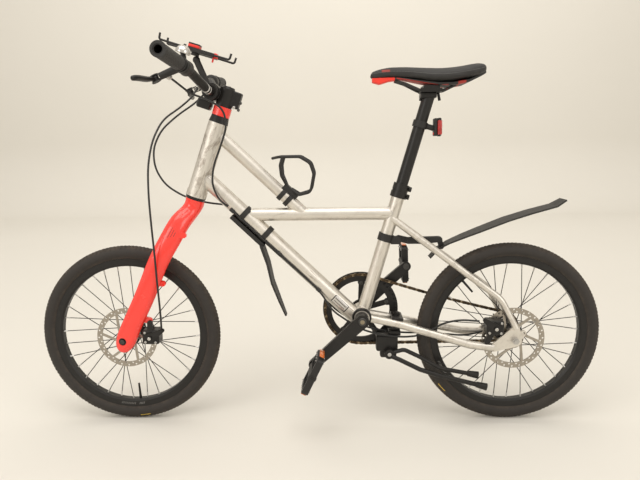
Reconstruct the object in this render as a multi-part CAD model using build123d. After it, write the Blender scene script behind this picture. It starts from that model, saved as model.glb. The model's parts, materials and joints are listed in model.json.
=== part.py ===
from build123d import *
import os
from math import atan2, cos, degrees, pi, radians, sin, sqrt, tan

# Small-wheel bicycle with a one-sided fork, disc brakes and a geared rear hub.
# Millimetres. +X is forward, +Y is the rider's left, +Z is up, and the ground is z = 0.
# The origin is on the ground, midway between the two axles.

# ---- wheels
WHEELBASE = 1007.0
TYRE_RADIUS = 240.0
TYRE_WIDTH = 37.0
TYRE_WALL = 4.0
RIM_INNER_RADIUS = 186.0
RIM_FLANGE_RADIUS = 206.0
RIM_BED_RADIUS = 198.0
RIM_WIDTH = 24.0
RIM_FLANGE = 3.0
SPOKES = 32
SPOKE_RADIUS = 1.0
NIPPLE_RADIUS = 2.2
NIPPLE_LENGTH = 9.0
VALVE_RADIUS = 3.5
VALVE_LENGTH = 42.0
ROTOR_RADIUS = 80.0
ROTOR_BAND = 14.0
ROTOR_THICKNESS = 1.9
FRONT_ROTOR_Y = 39.0
REAR_ROTOR_Y = 53.6
FRONT_AXLE_RADIUS = 10.0
REAR_AXLE_RADIUS = 5.0

# ---- frame
CHAINSTAY_REACH = 387.5
BRACKET_HEIGHT = 290.6
BRACKET_RADIUS = 23.0
BRACKET_HALF = 34.0
BRACKET_CUP = 8.0
HEAD_ANGLE = 70.5
FORK_OFFSET = 56.8
HEAD_HEIGHT = 609.0
HEAD_TUBE_LENGTH = 197.0
HEAD_TUBE_RADIUS = 25.0
HEAD_TUBE_WALL = 3.0
SEAT_ANGLE = 73.5
SEAT_SETBACK = 3.0
SEAT_TUBE_LENGTH = 352.0
SEAT_TUBE_RADIUS = 17.2
SEATPOST_RADIUS = 15.4
TOP_TUBE_HEIGHT = 559.5
TOP_TUBE_RADIUS = 17.0
UPPER_TUBE_RADIUS = 16.0
UPPER_TUBE_AT = 173.0
UPPER_TUBE_FOOT = 147.0
DOWN_TUBE_RADIUS = 20.7
DOWN_TUBE_AT = 57.0
TUBE_WALL = 2.2
CHAINSTAY_RADIUS = 10.2
SEATSTAY_RADIUS = 8.7
STAY_TOP_AT = 268.0
DROPOUT_GAP = 135.0
DROPOUT_THICKNESS = 6.0
EYELET_RADIUS = 2.7
WELD_GAP = 0.06
SHAFT_FIT = 0.05
CLEARANCE = 0.3

# ---- drive
CRANK_LENGTH = 170.0
CRANK_ANGLE = -42.3
CRANK_FACE_Y = 76.0
CRANK_THICKNESS = 13.0
SPINDLE_RADIUS = 12.0
CHAIN_LINE = 46.0
CHAIN_PITCH = 12.7
RING_TEETH = 48
SPROCKET_TEETH = 20
CHAIN_HALF_WIDTH = 3.9
CHAIN_PLATE = 1.4
PEDAL_LENGTH = 96.0
PEDAL_WIDTH = 78.0
PEDAL_HEIGHT = 17.0
PEDAL_AXLE_RADIUS = 5.0
LEFT_PEDAL_ANGLE = -64.0
RIGHT_PEDAL_ANGLE = 88.0

# ---- steering
STEERER_RADIUS = 14.3
LEG_DEPTH = 26.0
LEG_THICKNESS = 14.8
LEG_Y = 61.5
LOWER_CUP = 8.0
UPPER_CUP = 18.0
SPACER_HEIGHT = 24.0
SPACER_RADIUS = 23.0
STEM_HEIGHT = 46.0
STEM_REACH = 36.0
STEM_RADIUS = 21.0
BAR_CLAMP_RADIUS = 15.9
BAR_RADIUS = 11.1
BAR_HALF = 320.0
BAR_RISE = 57.0
BAR_FORWARD = 40.0
GRIP_RADIUS = 16.3
GRIP_LENGTH = 130.0
CABLE_RADIUS = 2.5

# ---- derived frame points
axle_z = TYRE_RADIUS
front_x = WHEELBASE / 2
rear_x = -WHEELBASE / 2
bracket_x = rear_x + CHAINSTAY_REACH
bracket_z = BRACKET_HEIGHT
head_up = Vector(-cos(radians(HEAD_ANGLE)), 0, sin(radians(HEAD_ANGLE)))
head_out = Vector(sin(radians(HEAD_ANGLE)), 0, cos(radians(HEAD_ANGLE)))
seat_up = Vector(-cos(radians(SEAT_ANGLE)), 0, sin(radians(SEAT_ANGLE)))
seat_out = Vector(sin(radians(SEAT_ANGLE)), 0, cos(radians(SEAT_ANGLE)))
foot = Vector(front_x, 0, axle_z) - head_out * FORK_OFFSET
head_base = foot + head_up * ((HEAD_HEIGHT - foot.Z) / head_up.Z)
seat_base = Vector(bracket_x - SEAT_SETBACK, 0, bracket_z)
ring_pitch = CHAIN_PITCH / (2 * sin(pi / RING_TEETH))
sprocket_pitch = CHAIN_PITCH / (2 * sin(pi / SPROCKET_TEETH))
Y_UP = Vector(0, 1, 0)


def head(along, forward=0.0, side=0.0):
    """Point measured from the lower end of the head tube, along the steering axis."""
    return head_base + head_up * along + head_out * forward + Y_UP * side


def seat(along, forward=0.0, side=0.0):
    """Point measured from the bottom bracket, along the seat tube."""
    return seat_base + seat_up * along + seat_out * forward + Y_UP * side


def at(base, x=0.0, y=0.0, z=0.0):
    """Point at an offset from a base point."""
    return base + Vector(x, y, z)


bracket = Vector(bracket_x, 0, bracket_z)
rear_axle_centre = Vector(rear_x, 0, axle_z)
front_axle_centre = Vector(front_x, 0, axle_z)


def rod(start, end, radius, end_radius=None):
    """Round bar from one point to another, tapered where the end radius is given."""
    span = end - start
    place = Plane(origin=start, z_dir=span)
    up = (Align.CENTER, Align.CENTER, Align.MIN)
    if end_radius is None:
        return place * Cylinder(radius, span.length, align=up)
    return place * Cone(radius, end_radius, span.length, align=up)


def pipe(start, end, radius, bore):
    """Round tube from one point to another."""
    return rod(start, end, radius) - rod(start, end, bore)


def bent(points, radius, bends):
    """Round bar along straight runs joined by tangent arcs."""
    path = FilletPolyline(*points, radius=bends)
    return sweep(Plane(origin=path @ 0, z_dir=path % 0) * Circle(radius), path=path)


def plate(sketch, y_low, y_high):
    """Flat plate from an outline given in x and z."""
    place = Plane(origin=(0, y_high, 0), x_dir=(1, 0, 0), z_dir=(0, -1, 0))
    return extrude(place * sketch, amount=y_high - y_low)


def disc(x, z, radius):
    return Pos(x, z) * Circle(radius)


def hull(*circles):
    """Outline drawn tightly round some circles given as x, z and radius."""
    rounds = [disc(*one) for one in circles]
    return make_hull([edge for one in rounds for edge in one.edges()])


def across(centre, radius, y_low, y_high):
    """Cylinder across the bicycle."""
    return plate(disc(centre.X, centre.Z, radius), y_low, y_high)


def turned(centre, profile):
    """Solid turned about an axis across the bicycle from pairs of radius and y."""
    outline = make_face(Polyline(*[(r, y) for r, y in profile], close=True))
    flat = Plane(origin=centre, x_dir=(1, 0, 0), z_dir=(0, 0, 1)) * outline
    return revolve(flat, axis=Axis(centre, (0, 1, 0)), revolution_arc=360)


def block(centre, size_x, size_y, size_z, tilt=0.0, soft=0.0):
    """Box at a centre, tipped nose down about the cross axis by some degrees."""
    box = Box(size_x, size_y, size_z)
    if soft:
        box = fillet(box.edges(), soft)
    return Location(centre, (0, tilt, 0)) * box


def mirrored(shape):
    return mirror(shape, about=Plane.XZ)


def toothed(teeth, pitch_radius, tip, root):
    """Outline of a toothed wheel about its own centre."""
    points = []
    for tooth in range(teeth):
        for share, radius in ((0.0, root), (0.26, root), (0.42, tip), (0.58, tip), (0.74, root)):
            angle = 2 * pi * (tooth + share - 0.5) / teeth
            reach = pitch_radius + radius
            points.append((reach * cos(angle), reach * sin(angle)))
    return make_face(Polyline(*points, close=True))


def save(name, shape):
    solids = shape.solids()
    whole = solids[0] if len(solids) == 1 else Compound(children=list(solids))
    whole.label = name
    export_step(whole, "parts/" + name + ".step")
    volume = sum(one.volume for one in solids)
    print(name, len(solids), "solids", round(volume / 1000, 1), "cm3",
          "valid" if all(one.is_valid for one in solids) else "NOT VALID")


def group(pieces):
    """Separate solids kept apart in one node."""
    return Compound(children=[solid for piece in pieces for solid in piece.solids()])


def easy_bends(points, name):
    """Arc radii as large as the neighbouring runs allow, printed for checking."""
    bends = []
    for before, here, after in zip(points, points[1:], points[2:]):
        run_in = here - before
        run_out = after - here
        turn = radians(run_in.get_angle(run_out))
        bends.append(0.45 * min(run_in.length, run_out.length) / tan(turn / 2))
    print(name, "radii", [round(one) for one in bends])
    return bends


def cable(name, points, radius=CABLE_RADIUS):
    bends = easy_bends(points, name)
    shape = bent(points, radius, bends)
    path = FilletPolyline(*points, radius=bends)
    print(name, "length", round(path.length, 1), "volume share",
          round(shape.volume / (pi * radius ** 2 * path.length), 4))
    return shape


os.makedirs("parts", exist_ok=True)

# ---- main tubes
head_solid = rod(head(0), head(HEAD_TUBE_LENGTH), HEAD_TUBE_RADIUS + WELD_GAP)
head_tube = pipe(head(0), head(HEAD_TUBE_LENGTH), HEAD_TUBE_RADIUS,
                 HEAD_TUBE_RADIUS - HEAD_TUBE_WALL)
head_tube += pipe(head(0), head(16), HEAD_TUBE_RADIUS + 1.4, HEAD_TUBE_RADIUS - 1)
save("head_tube", head_tube)

bracket_solid = across(bracket, BRACKET_RADIUS + WELD_GAP, -BRACKET_HALF - 1, BRACKET_HALF + 1)
shell_profile = [(SPINDLE_RADIUS + SHAFT_FIT, -BRACKET_HALF - BRACKET_CUP),
                 (BRACKET_RADIUS - 3, -BRACKET_HALF - BRACKET_CUP),
                 (BRACKET_RADIUS - 3, -BRACKET_HALF), (BRACKET_RADIUS, -BRACKET_HALF),
                 (BRACKET_RADIUS, BRACKET_HALF), (BRACKET_RADIUS - 3, BRACKET_HALF),
                 (BRACKET_RADIUS - 3, BRACKET_HALF + BRACKET_CUP),
                 (SPINDLE_RADIUS + SHAFT_FIT, BRACKET_HALF + BRACKET_CUP)]
save("bottom_bracket_shell", turned(bracket, shell_profile))

seat_solid = rod(seat(0), seat(SEAT_TUBE_LENGTH), SEAT_TUBE_RADIUS + WELD_GAP)
seat_tube = rod(seat(0), seat(SEAT_TUBE_LENGTH), SEAT_TUBE_RADIUS)
seat_tube -= rod(seat(40), seat(SEAT_TUBE_LENGTH), SEATPOST_RADIUS + SHAFT_FIT)
save("seat_tube", seat_tube - bracket_solid)

down_top = head(DOWN_TUBE_AT)
down_foot = at(bracket, 16, 0, -5.4)
down_solid = rod(down_top, down_foot, DOWN_TUBE_RADIUS + WELD_GAP)
down_tube = rod(down_top, down_foot, DOWN_TUBE_RADIUS)
down_tube -= rod(down_top, down_foot, DOWN_TUBE_RADIUS - TUBE_WALL)
save("down_tube", down_tube - head_solid - bracket_solid - seat_solid)

down_run = down_top - down_foot
top_front = down_foot + down_run * ((TOP_TUBE_HEIGHT - down_foot.Z) / down_run.Z)
top_back = seat((TOP_TUBE_HEIGHT - bracket_z) / seat_up.Z)
top_solid = rod(top_front, top_back, TOP_TUBE_RADIUS + WELD_GAP)
top_tube = pipe(top_front, top_back, TOP_TUBE_RADIUS, TOP_TUBE_RADIUS - TUBE_WALL)
save("top_tube", (top_tube - down_solid - seat_solid).solids().sort_by(SortBy.VOLUME)[-1])

upper_top = head(UPPER_TUBE_AT)
upper_foot = Vector(bracket_x + UPPER_TUBE_FOOT, 0, TOP_TUBE_HEIGHT)
upper_tube = pipe(upper_top, upper_foot, UPPER_TUBE_RADIUS, UPPER_TUBE_RADIUS - TUBE_WALL)
save("upper_tube", (upper_tube - head_solid - top_solid).solids().sort_by(SortBy.VOLUME)[-1])

# ---- stays and dropouts
drop_in = DROPOUT_GAP / 2
drop_out = drop_in + DROPOUT_THICKNESS
boss_end = CHAIN_LINE + 6
stay_y = DROPOUT_GAP / 2 + 1.0
chainstay_line = [at(bracket, -20, 24, -5), at(bracket, -99, 29, -21),
                  at(rear_axle_centre, 108.5, 61, -16), at(rear_axle_centre, 52, stay_y, -20)]
seatstay_line = [seat(STAY_TOP_AT, 0, 11), at(rear_axle_centre, 37.5, 64, 106),
                 at(rear_axle_centre, -2, stay_y + 1, 30)]
drop_outline = hull((rear_x, axle_z, 17), (rear_x + 53, axle_z - 20, 10),
                    (rear_x - 2, axle_z + 31, 8.5))
eyelet = at(rear_axle_centre, -21, 0, 19)
dropout = plate(drop_outline, drop_in, drop_out)
dropout += plate(hull((eyelet.X, eyelet.Z, 6.5), (rear_x, axle_z, 12)), drop_in, drop_out)
dropout -= across(rear_axle_centre, REAR_AXLE_RADIUS + WELD_GAP, 0, 100)
dropout -= across(eyelet, EYELET_RADIUS, 0, 100)
chainstay = bent(chainstay_line, CHAINSTAY_RADIUS, [160, 110]) - bracket_solid
chainstay = chainstay + dropout
hub_room = across(rear_axle_centre, 34, 0, drop_in)
chainstay -= hub_room
seatstay = bent(seatstay_line, SEATSTAY_RADIUS, [70]) - seat_solid
seatstay -= plate(offset(drop_outline, WELD_GAP), drop_in - WELD_GAP, drop_out + WELD_GAP)
seatstay = seatstay.solids().sort_by(SortBy.VOLUME)[-1] - hub_room
save("left_chainstay", chainstay)
save("right_chainstay", mirrored(chainstay))
save("left_seatstay", seatstay)
save("right_seatstay", mirrored(seatstay))

# ---- headset, clamp and axle on the frame
lower_cup = rod(head(-LOWER_CUP), head(0), HEAD_TUBE_RADIUS - 1, HEAD_TUBE_RADIUS + 1.2)
upper_cup = rod(head(HEAD_TUBE_LENGTH), head(HEAD_TUBE_LENGTH + UPPER_CUP),
                HEAD_TUBE_RADIUS, SPACER_RADIUS - 1)
steerer_room = rod(head(-40), head(320), STEERER_RADIUS + SHAFT_FIT)
save("headset_cups", group([lower_cup - steerer_room, upper_cup - steerer_room]))

clamp_low = SEAT_TUBE_LENGTH - 29
clamp_high = SEAT_TUBE_LENGTH + 7
clamp = rod(seat(clamp_low), seat(clamp_low + 15), 21.5)
clamp += rod(seat(clamp_low + 15), seat(clamp_low + 20), 20)
clamp += rod(seat(clamp_low + 20), seat(clamp_high), 20.8)
for along in (clamp_low + 7.5, clamp_high - 8):
    ear = rod(seat(along, -18), seat(along, -27.5), 6.5)
    clamp += ear
    clamp += rod(seat(along, -23, -14), seat(along, -23, 14), 3.6)
clamp -= rod(seat(0), seat(SEAT_TUBE_LENGTH), SEAT_TUBE_RADIUS + WELD_GAP)
clamp -= rod(seat(0), seat(SEAT_TUBE_LENGTH + 20), SEATPOST_RADIUS + SHAFT_FIT)
save("seat_clamp", clamp)

axle = across(rear_axle_centre, REAR_AXLE_RADIUS, -86, 86)
nut_flat = RegularPolygon(9.0, 6)
for side in (-1, 1):
    low, high = sorted((side * (drop_out + WELD_GAP), side * (drop_out + 9)))
    axle += plate(Pos(rear_x, axle_z) * nut_flat, low, high)
joint = across(rear_axle_centre, 23, -drop_in + 2, -boss_end - 4)
joint -= across(rear_axle_centre, 9.5, -80, 0)
save("rear_axle", group([axle, joint]))

# ---- wheels
tyre_mid = TYRE_RADIUS - TYRE_WIDTH / 2
tyre_cut = RIM_FLANGE_RADIUS + 0.1
tyre_ring = Circle(TYRE_WIDTH / 2) - Circle(TYRE_WIDTH / 2 - TYRE_WALL)
tyre_ring -= Pos(tyre_cut - tyre_mid - 20, 0) * Rectangle(40, 60)


def wheel_plane(centre, reach=0.0):
    return Plane(origin=centre + Vector(reach, 0, 0), x_dir=(1, 0, 0), z_dir=(0, 0, 1))


def wheel(prefix, centre, left_y, right_y, flange, valve_at, first):
    """Tyre, rim with valve, and the spokes between two hub flanges and the rim."""
    spin = Axis(centre, (0, 1, 0))
    tyre = revolve(wheel_plane(centre, tyre_mid) * tyre_ring, axis=spin)
    save(prefix + "_tyre", tyre)
    half = RIM_WIDTH / 2
    rim = turned(centre, [
        (RIM_INNER_RADIUS, -half + 4), (RIM_INNER_RADIUS + 5, -half),
        (RIM_FLANGE_RADIUS, -half), (RIM_FLANGE_RADIUS, -half + RIM_FLANGE),
        (RIM_BED_RADIUS, -half + RIM_FLANGE), (RIM_BED_RADIUS, half - RIM_FLANGE),
        (RIM_FLANGE_RADIUS, half - RIM_FLANGE), (RIM_FLANGE_RADIUS, half),
        (RIM_INNER_RADIUS + 5, half), (RIM_INNER_RADIUS, half - 4)])
    way = Vector(cos(radians(valve_at)), 0, sin(radians(valve_at)))
    valve = rod(centre + way * (RIM_INNER_RADIUS + 2),
                centre + way * (RIM_INNER_RADIUS - VALVE_LENGTH), VALVE_RADIUS, 2.6)
    save(prefix + "_rim", rim + valve)
    pieces = []
    for number in range(SPOKES):
        angle = first + 360 / SPOKES * number
        left = number % 2 == 0
        lean = 58 if number // 2 % 2 == 0 else -58
        out = radians(angle)
        start = radians(angle + lean)
        y_here = (left_y if left else right_y) + (1.6 if lean > 0 else -1.6) * (1 if left else -1)
        foot_at = flange + 0.4
        begin = centre + Vector(foot_at * cos(start), y_here, foot_at * sin(start))
        rim_at = RIM_INNER_RADIUS - 0.3
        end_y = 3.0 if left else -3.0
        end = centre + Vector(rim_at * cos(out), end_y, rim_at * sin(out))
        unit = (end - begin).normalized()
        join = end - unit * NIPPLE_LENGTH
        piece = rod(begin, join, SPOKE_RADIUS) + rod(join, end, NIPPLE_RADIUS - 0.3, NIPPLE_RADIUS)
        pieces.append(piece)
    save(prefix + "_spokes", group(pieces))


FRONT_FLANGES = (20.0, -30.0)
REAR_FLANGES = (26.0, -26.0)
FRONT_FLANGE_RADIUS = 29.0
REAR_FLANGE_RADIUS = 33.0
wheel("front", front_axle_centre, *FRONT_FLANGES, FRONT_FLANGE_RADIUS, -93.6, 2.0)
wheel("rear", rear_axle_centre, *REAR_FLANGES, REAR_FLANGE_RADIUS, 49.0, 9.6)


def flange_steps(y, radius, core):
    return [(core, y - 5), (radius, y - 2.8), (radius, y + 2.8), (core, y + 5)]


def rotor(centre, y):
    """Brake disc with a slotted band on curved arms."""
    low = y - ROTOR_THICKNESS / 2
    high = y + ROTOR_THICKNESS / 2
    ring = Circle(ROTOR_RADIUS) - Circle(ROTOR_RADIUS - ROTOR_BAND)
    for number in range(24):
        hole = Rot(0, 0, 15 * number) * (Pos(ROTOR_RADIUS - 4.5, 0) * Circle(2.4))
        hole += Rot(0, 0, 15 * number + 6) * (Pos(ROTOR_RADIUS - 10, 0) * Circle(2.2))
        ring -= hole
    ring += Circle(27) - Circle(16)
    for number in range(6):
        arm = Pos(45, 0) * (Rot(0, 0, 24) * Rectangle(48, 6.5))
        ring += Rot(0, 0, 60 * number) * arm
    ring -= Circle(16)
    return plate(Pos(centre.X, centre.Z) * ring, low, high)


rotor_hole = 16.0
front_core = 17.0
axle_fit = SHAFT_FIT
front_low = FRONT_FLANGES[1] - 9
front_profile = [(FRONT_AXLE_RADIUS + axle_fit, front_low), (front_core - 4, front_low)]
front_profile += flange_steps(FRONT_FLANGES[1], FRONT_FLANGE_RADIUS, front_core)
front_profile += flange_steps(FRONT_FLANGES[0], FRONT_FLANGE_RADIUS, front_core + 2)
front_seat = FRONT_ROTOR_Y - ROTOR_THICKNESS / 2
front_profile += [(24, FRONT_FLANGES[0] + 8), (24, front_seat - 0.05),
                  (rotor_hole - 0.1, front_seat - 0.05), (rotor_hole - 0.1, FRONT_ROTOR_Y + 4),
                  (FRONT_AXLE_RADIUS + axle_fit, FRONT_ROTOR_Y + 4)]
save("front_hub", turned(front_axle_centre, front_profile))
save("front_rotor", rotor(front_axle_centre, FRONT_ROTOR_Y))

rear_core = 26.0
boss_radius = 18.0
rear_profile = [(REAR_AXLE_RADIUS + axle_fit, -drop_in + CLEARANCE), (9, -drop_in + CLEARANCE),
                (9, -boss_end - 2), (boss_radius, -boss_end), (boss_radius, -CHAIN_LINE + 7),
                (rear_core, -CHAIN_LINE + 7)]
rear_profile += flange_steps(REAR_FLANGES[1], REAR_FLANGE_RADIUS, rear_core)
rear_profile += flange_steps(REAR_FLANGES[0], REAR_FLANGE_RADIUS, rear_core)
rear_seat = REAR_ROTOR_Y - ROTOR_THICKNESS / 2
rear_profile += [(rear_core, REAR_FLANGES[0] + 8), (24, rear_seat - 5), (24, rear_seat - 0.05),
                 (rotor_hole - 0.1, rear_seat - 0.05), (rotor_hole - 0.1, REAR_ROTOR_Y + 3),
                 (9, REAR_ROTOR_Y + 4), (9, drop_in - CLEARANCE),
                 (REAR_AXLE_RADIUS + axle_fit, drop_in - CLEARANCE)]
save("rear_hub", turned(rear_axle_centre, rear_profile))
save("rear_rotor", rotor(rear_axle_centre, REAR_ROTOR_Y))

# ---- drive
sprocket = plate(Pos(rear_x, axle_z) * toothed(SPROCKET_TEETH, sprocket_pitch, 3.4, -4.2),
                 -CHAIN_LINE - 1.1, -CHAIN_LINE + 1.1)
sprocket += across(rear_axle_centre, boss_radius + 5, -CHAIN_LINE - 4, -CHAIN_LINE + 4)
sprocket -= across(rear_axle_centre, boss_radius + SHAFT_FIT, -80, 0)
save("rear_sprocket", sprocket)


def belt(grow):
    return hull((bracket_x, bracket_z, ring_pitch + grow), (rear_x, axle_z, sprocket_pitch + grow))


link_low = -4.2
link_high = 5.2
web_low = 4.2
band = belt(link_high) - belt(link_low)
web = belt(link_high) - belt(web_low)
plate_in = CHAIN_HALF_WIDTH - CHAIN_PLATE
chain = plate(web, -CHAIN_LINE - plate_in, -CHAIN_LINE + plate_in)
chain += plate(band, -CHAIN_LINE - CHAIN_HALF_WIDTH, -CHAIN_LINE - plate_in)
chain += plate(band, -CHAIN_LINE + plate_in, -CHAIN_LINE + CHAIN_HALF_WIDTH)
save("chain", chain)

crank_way = Vector(cos(radians(CRANK_ANGLE)), 0, sin(radians(CRANK_ANGLE)))
left_pin = bracket + crank_way * CRANK_LENGTH
right_pin = bracket - crank_way * CRANK_LENGTH
ring_sketch = toothed(RING_TEETH, ring_pitch, 3.7, -3.9) - Circle(79)
for number in range(5):
    arm = Pos(54, 0) * Rectangle(64, 15)
    arm += Pos(76, 0) * Circle(10)
    ring_sketch += Rot(0, 0, 72 * number + 20) * arm
ring_sketch += Circle(27)
ring_sketch -= Circle(SPINDLE_RADIUS + SHAFT_FIT)
ring_low = -CHAIN_LINE - 1.3
ring_high = -CHAIN_LINE + 1.3
chainring = plate(Pos(bracket_x, bracket_z) * ring_sketch, ring_low, ring_high)
for number in range(5):
    angle = radians(72 * number + 20)
    spot = at(bracket, 73 * cos(angle), 0, 73 * sin(angle))
    chainring += across(spot, 5, ring_low - 3, ring_high)
save("chainring", chainring)

arm_in = CRANK_FACE_Y - CRANK_THICKNESS


def crank(pin, side):
    outline = hull((bracket_x, bracket_z, 17.5), (pin.X, pin.Z, 13))
    low, high = sorted((side * arm_in, side * CRANK_FACE_Y))
    arm = plate(outline, low, high)
    reach = CRANK_FACE_Y + 9 + PEDAL_WIDTH
    low, high = sorted((side * arm_in, side * reach))
    return arm + across(pin, PEDAL_AXLE_RADIUS, low, high)


left_crank = crank(left_pin, 1)
left_crank += across(bracket, 17.5, BRACKET_HALF + BRACKET_CUP + 1.5, CRANK_FACE_Y)
left_crank -= across(bracket, SPINDLE_RADIUS + SHAFT_FIT, 0, CRANK_FACE_Y - 4)
left_crank -= across(bracket, 7, 0, CRANK_FACE_Y + 1)
save("left_crank", left_crank)
right_crank = crank(right_pin, -1)
right_crank += across(bracket, 20, -CRANK_FACE_Y, ring_low - 0.05)
right_crank += across(bracket, SPINDLE_RADIUS, -CRANK_FACE_Y + 1, CRANK_FACE_Y - 4.1)
right_crank -= across(bracket, 7.5, -CRANK_FACE_Y, -CRANK_FACE_Y + 12)
save("right_crank", right_crank)


def pedal(pin, side, tilt):
    """Platform pedal with a reflector at each end, turned by tilt about its axle."""
    near = CRANK_FACE_Y + 8
    middle = Vector(0, side * (near + PEDAL_WIDTH / 2), 0)
    body = Box(PEDAL_LENGTH, PEDAL_WIDTH, PEDAL_HEIGHT)
    body = fillet(body.edges().filter_by(Axis.Z), 7)
    for end in (-1, 1):
        window = Pos(end * PEDAL_LENGTH * 0.25, 0, 0) * Box(PEDAL_LENGTH * 0.27,
                                                            PEDAL_WIDTH - 18, 40)
        body -= window
    body += Rot(90, 0, 0) * Cylinder(10.5, PEDAL_WIDTH)
    body -= Rot(90, 0, 0) * Cylinder(PEDAL_AXLE_RADIUS + SHAFT_FIT, PEDAL_WIDTH + 2)
    pieces = [body]
    for end in (-1, 1):
        spot = Pos(end * (PEDAL_LENGTH / 2 + 2.1), 0, 0)
        pieces.append(spot * Box(4, PEDAL_WIDTH - 26, PEDAL_HEIGHT - 3))
    place = Location(pin + middle, (0, -tilt, 0))
    return group([place * piece for piece in pieces])


save("left_pedal", pedal(left_pin, 1, LEFT_PEDAL_ANGLE))
save("right_pedal", pedal(right_pin, -1, RIGHT_PEDAL_ANGLE))

# ---- fork with its steerer, spacer, stem and bar
crown = -LOWER_CUP - CLEARANCE
leg_path = [(head(crown), 24.5, 24.5), (head(crown - 22), 24.5, 23.5),
            (at(front_axle_centre, -157, 26, 309), 26, 21),
            (at(front_axle_centre, -134, 48, 268), LEG_DEPTH + 1, 16.5),
            (at(front_axle_centre, -104, LEG_Y - 4, 214), LEG_DEPTH, LEG_THICKNESS),
            (at(front_axle_centre, -64, LEG_Y, 124), LEG_DEPTH, LEG_THICKNESS),
            (at(front_axle_centre, -16, LEG_Y, 26), LEG_DEPTH, LEG_THICKNESS),
            (at(front_axle_centre, -2, LEG_Y, -6), LEG_DEPTH - 1.5, LEG_THICKNESS - 0.8),
            (at(front_axle_centre, 5, LEG_Y, -22), LEG_DEPTH - 8, LEG_THICKNESS - 4),
            (at(front_axle_centre, 8.5, LEG_Y, -30), LEG_DEPTH - 17, LEG_THICKNESS - 9)]
sections = []
for number, (centre, deep, wide) in enumerate(leg_path):
    before = leg_path[max(number - 1, 0)][0]
    after = leg_path[min(number + 1, len(leg_path) - 1)][0]
    way = after - before
    if number < 2:
        way = head_up * -1
    lying = Vector(-way.Z, 0, way.X)
    sections.append(Plane(origin=centre, x_dir=lying, z_dir=way) * Ellipse(deep, wide))
fork = loft(sections)
leg_out = LEG_Y + LEG_THICKNESS
fork += rod(head(crown), head(HEAD_TUBE_LENGTH + UPPER_CUP + SPACER_HEIGHT + STEM_HEIGHT - 4),
            STEERER_RADIUS)
for away, up, inward in ((-168.0, 274.0, 26.0), (-108.0, 149.0, 28.0), (-68.0, 52.0, 26.0)):
    tab = at(front_axle_centre, away, 0, up)
    fork += plate(hull((tab.X, tab.Z, 7), (tab.X + inward, tab.Z + 4, 9)), LEG_Y - 11, LEG_Y - 3.6)
fork -= across(front_axle_centre, FRONT_AXLE_RADIUS + WELD_GAP, 0, 100)
save("fork", fork)

axle_profile = [(0, -46), (14, -46), (14, front_low - CLEARANCE), (FRONT_AXLE_RADIUS, front_low - CLEARANCE),
                (FRONT_AXLE_RADIUS, leg_out - 3), (0, leg_out - 3)]
save("front_axle", turned(front_axle_centre, axle_profile))

spacer_low = HEAD_TUBE_LENGTH + UPPER_CUP + CLEARANCE
stem_low = spacer_low + SPACER_HEIGHT + WELD_GAP
stem_mid = stem_low + STEM_HEIGHT * 0.55
save("headset_spacer", pipe(head(spacer_low), head(spacer_low + SPACER_HEIGHT), SPACER_RADIUS,
                            STEERER_RADIUS + WELD_GAP))
bar_centre = head(stem_mid, STEM_REACH)
stem = rod(head(stem_low), head(stem_low + STEM_HEIGHT), STEM_RADIUS)
stem += rod(bar_centre - Y_UP * 20, bar_centre + Y_UP * 20, BAR_CLAMP_RADIUS + 6)
stem += rod(head(stem_mid, 4), bar_centre, 17)
stem_tail = Location(head(stem_mid, -24), (0, HEAD_ANGLE - 90, 0)) * Box(28, 26, STEM_HEIGHT - 4)
stem += fillet(stem_tail.edges(), 4)
stem -= rod(bar_centre - Y_UP * 40, bar_centre + Y_UP * 40, BAR_CLAMP_RADIUS + WELD_GAP)
stem -= rod(head(stem_low - 5), head(stem_low + STEM_HEIGHT - 3.9), STEERER_RADIUS + WELD_GAP)
stem += rod(head(stem_low + STEM_HEIGHT - 3.8), head(stem_low + STEM_HEIGHT + 6), 20, 14)
lamp_foot = Location(head(stem_low - 8, 47), (0, HEAD_ANGLE - 90, 0)) * Box(36, 30, 24)
lamp_arm = Location(head(stem_low + 4, 34), (0, HEAD_ANGLE - 90, 0)) * Box(14, 14, 30)
stem_bracket = (fillet(lamp_foot.edges(), 5) + lamp_arm) - steerer_room
stem = stem + (stem_bracket - rod(head(spacer_low - 5), head(stem_low), SPACER_RADIUS + 0.4))
stem -= rod(bar_centre - Y_UP * 40, bar_centre + Y_UP * 40, BAR_CLAMP_RADIUS + WELD_GAP)
save("stem", stem)

knee = at(bar_centre, BAR_FORWARD * 0.75, 118, BAR_RISE * 0.72)
tip = at(bar_centre, BAR_FORWARD, BAR_HALF, BAR_RISE)
bar_points = [Vector(tip.X, -tip.Y, tip.Z), Vector(knee.X, -knee.Y, knee.Z),
              at(bar_centre, 0, -54, 0), at(bar_centre, 0, 54, 0), knee, tip]
bar = bent(bar_points, BAR_RADIUS, [60, 34, 34, 60])
bar += rod(bar_centre - Y_UP * 34, bar_centre + Y_UP * 34, BAR_CLAMP_RADIUS)
bar_way = (tip - knee).normalized()
for side in (-1, 1):
    end = Vector(tip.X, side * tip.Y, tip.Z)
    way = Vector(bar_way.X, side * bar_way.Y, bar_way.Z)
    bar -= rod(end - way * 60, end + way * 1, BAR_RADIUS - 2.2)
save("handlebar", bar)


def bar_at(from_tip, side=1):
    """Point on the grip part of the bar, measured inward from its end."""
    spot = tip - bar_way * from_tip
    return Vector(spot.X, side * spot.Y, spot.Z)


grip = pipe(bar_at(GRIP_LENGTH), bar_at(0), GRIP_RADIUS, BAR_RADIUS + WELD_GAP)
grip += pipe(bar_at(GRIP_LENGTH), bar_at(GRIP_LENGTH - 5), GRIP_RADIUS + 1.5,
             BAR_RADIUS + WELD_GAP)
grip += pipe(bar_at(4), bar_at(-1), GRIP_RADIUS + 0.7, BAR_RADIUS + WELD_GAP)
save("grips", group([grip, mirrored(grip)]))

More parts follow.
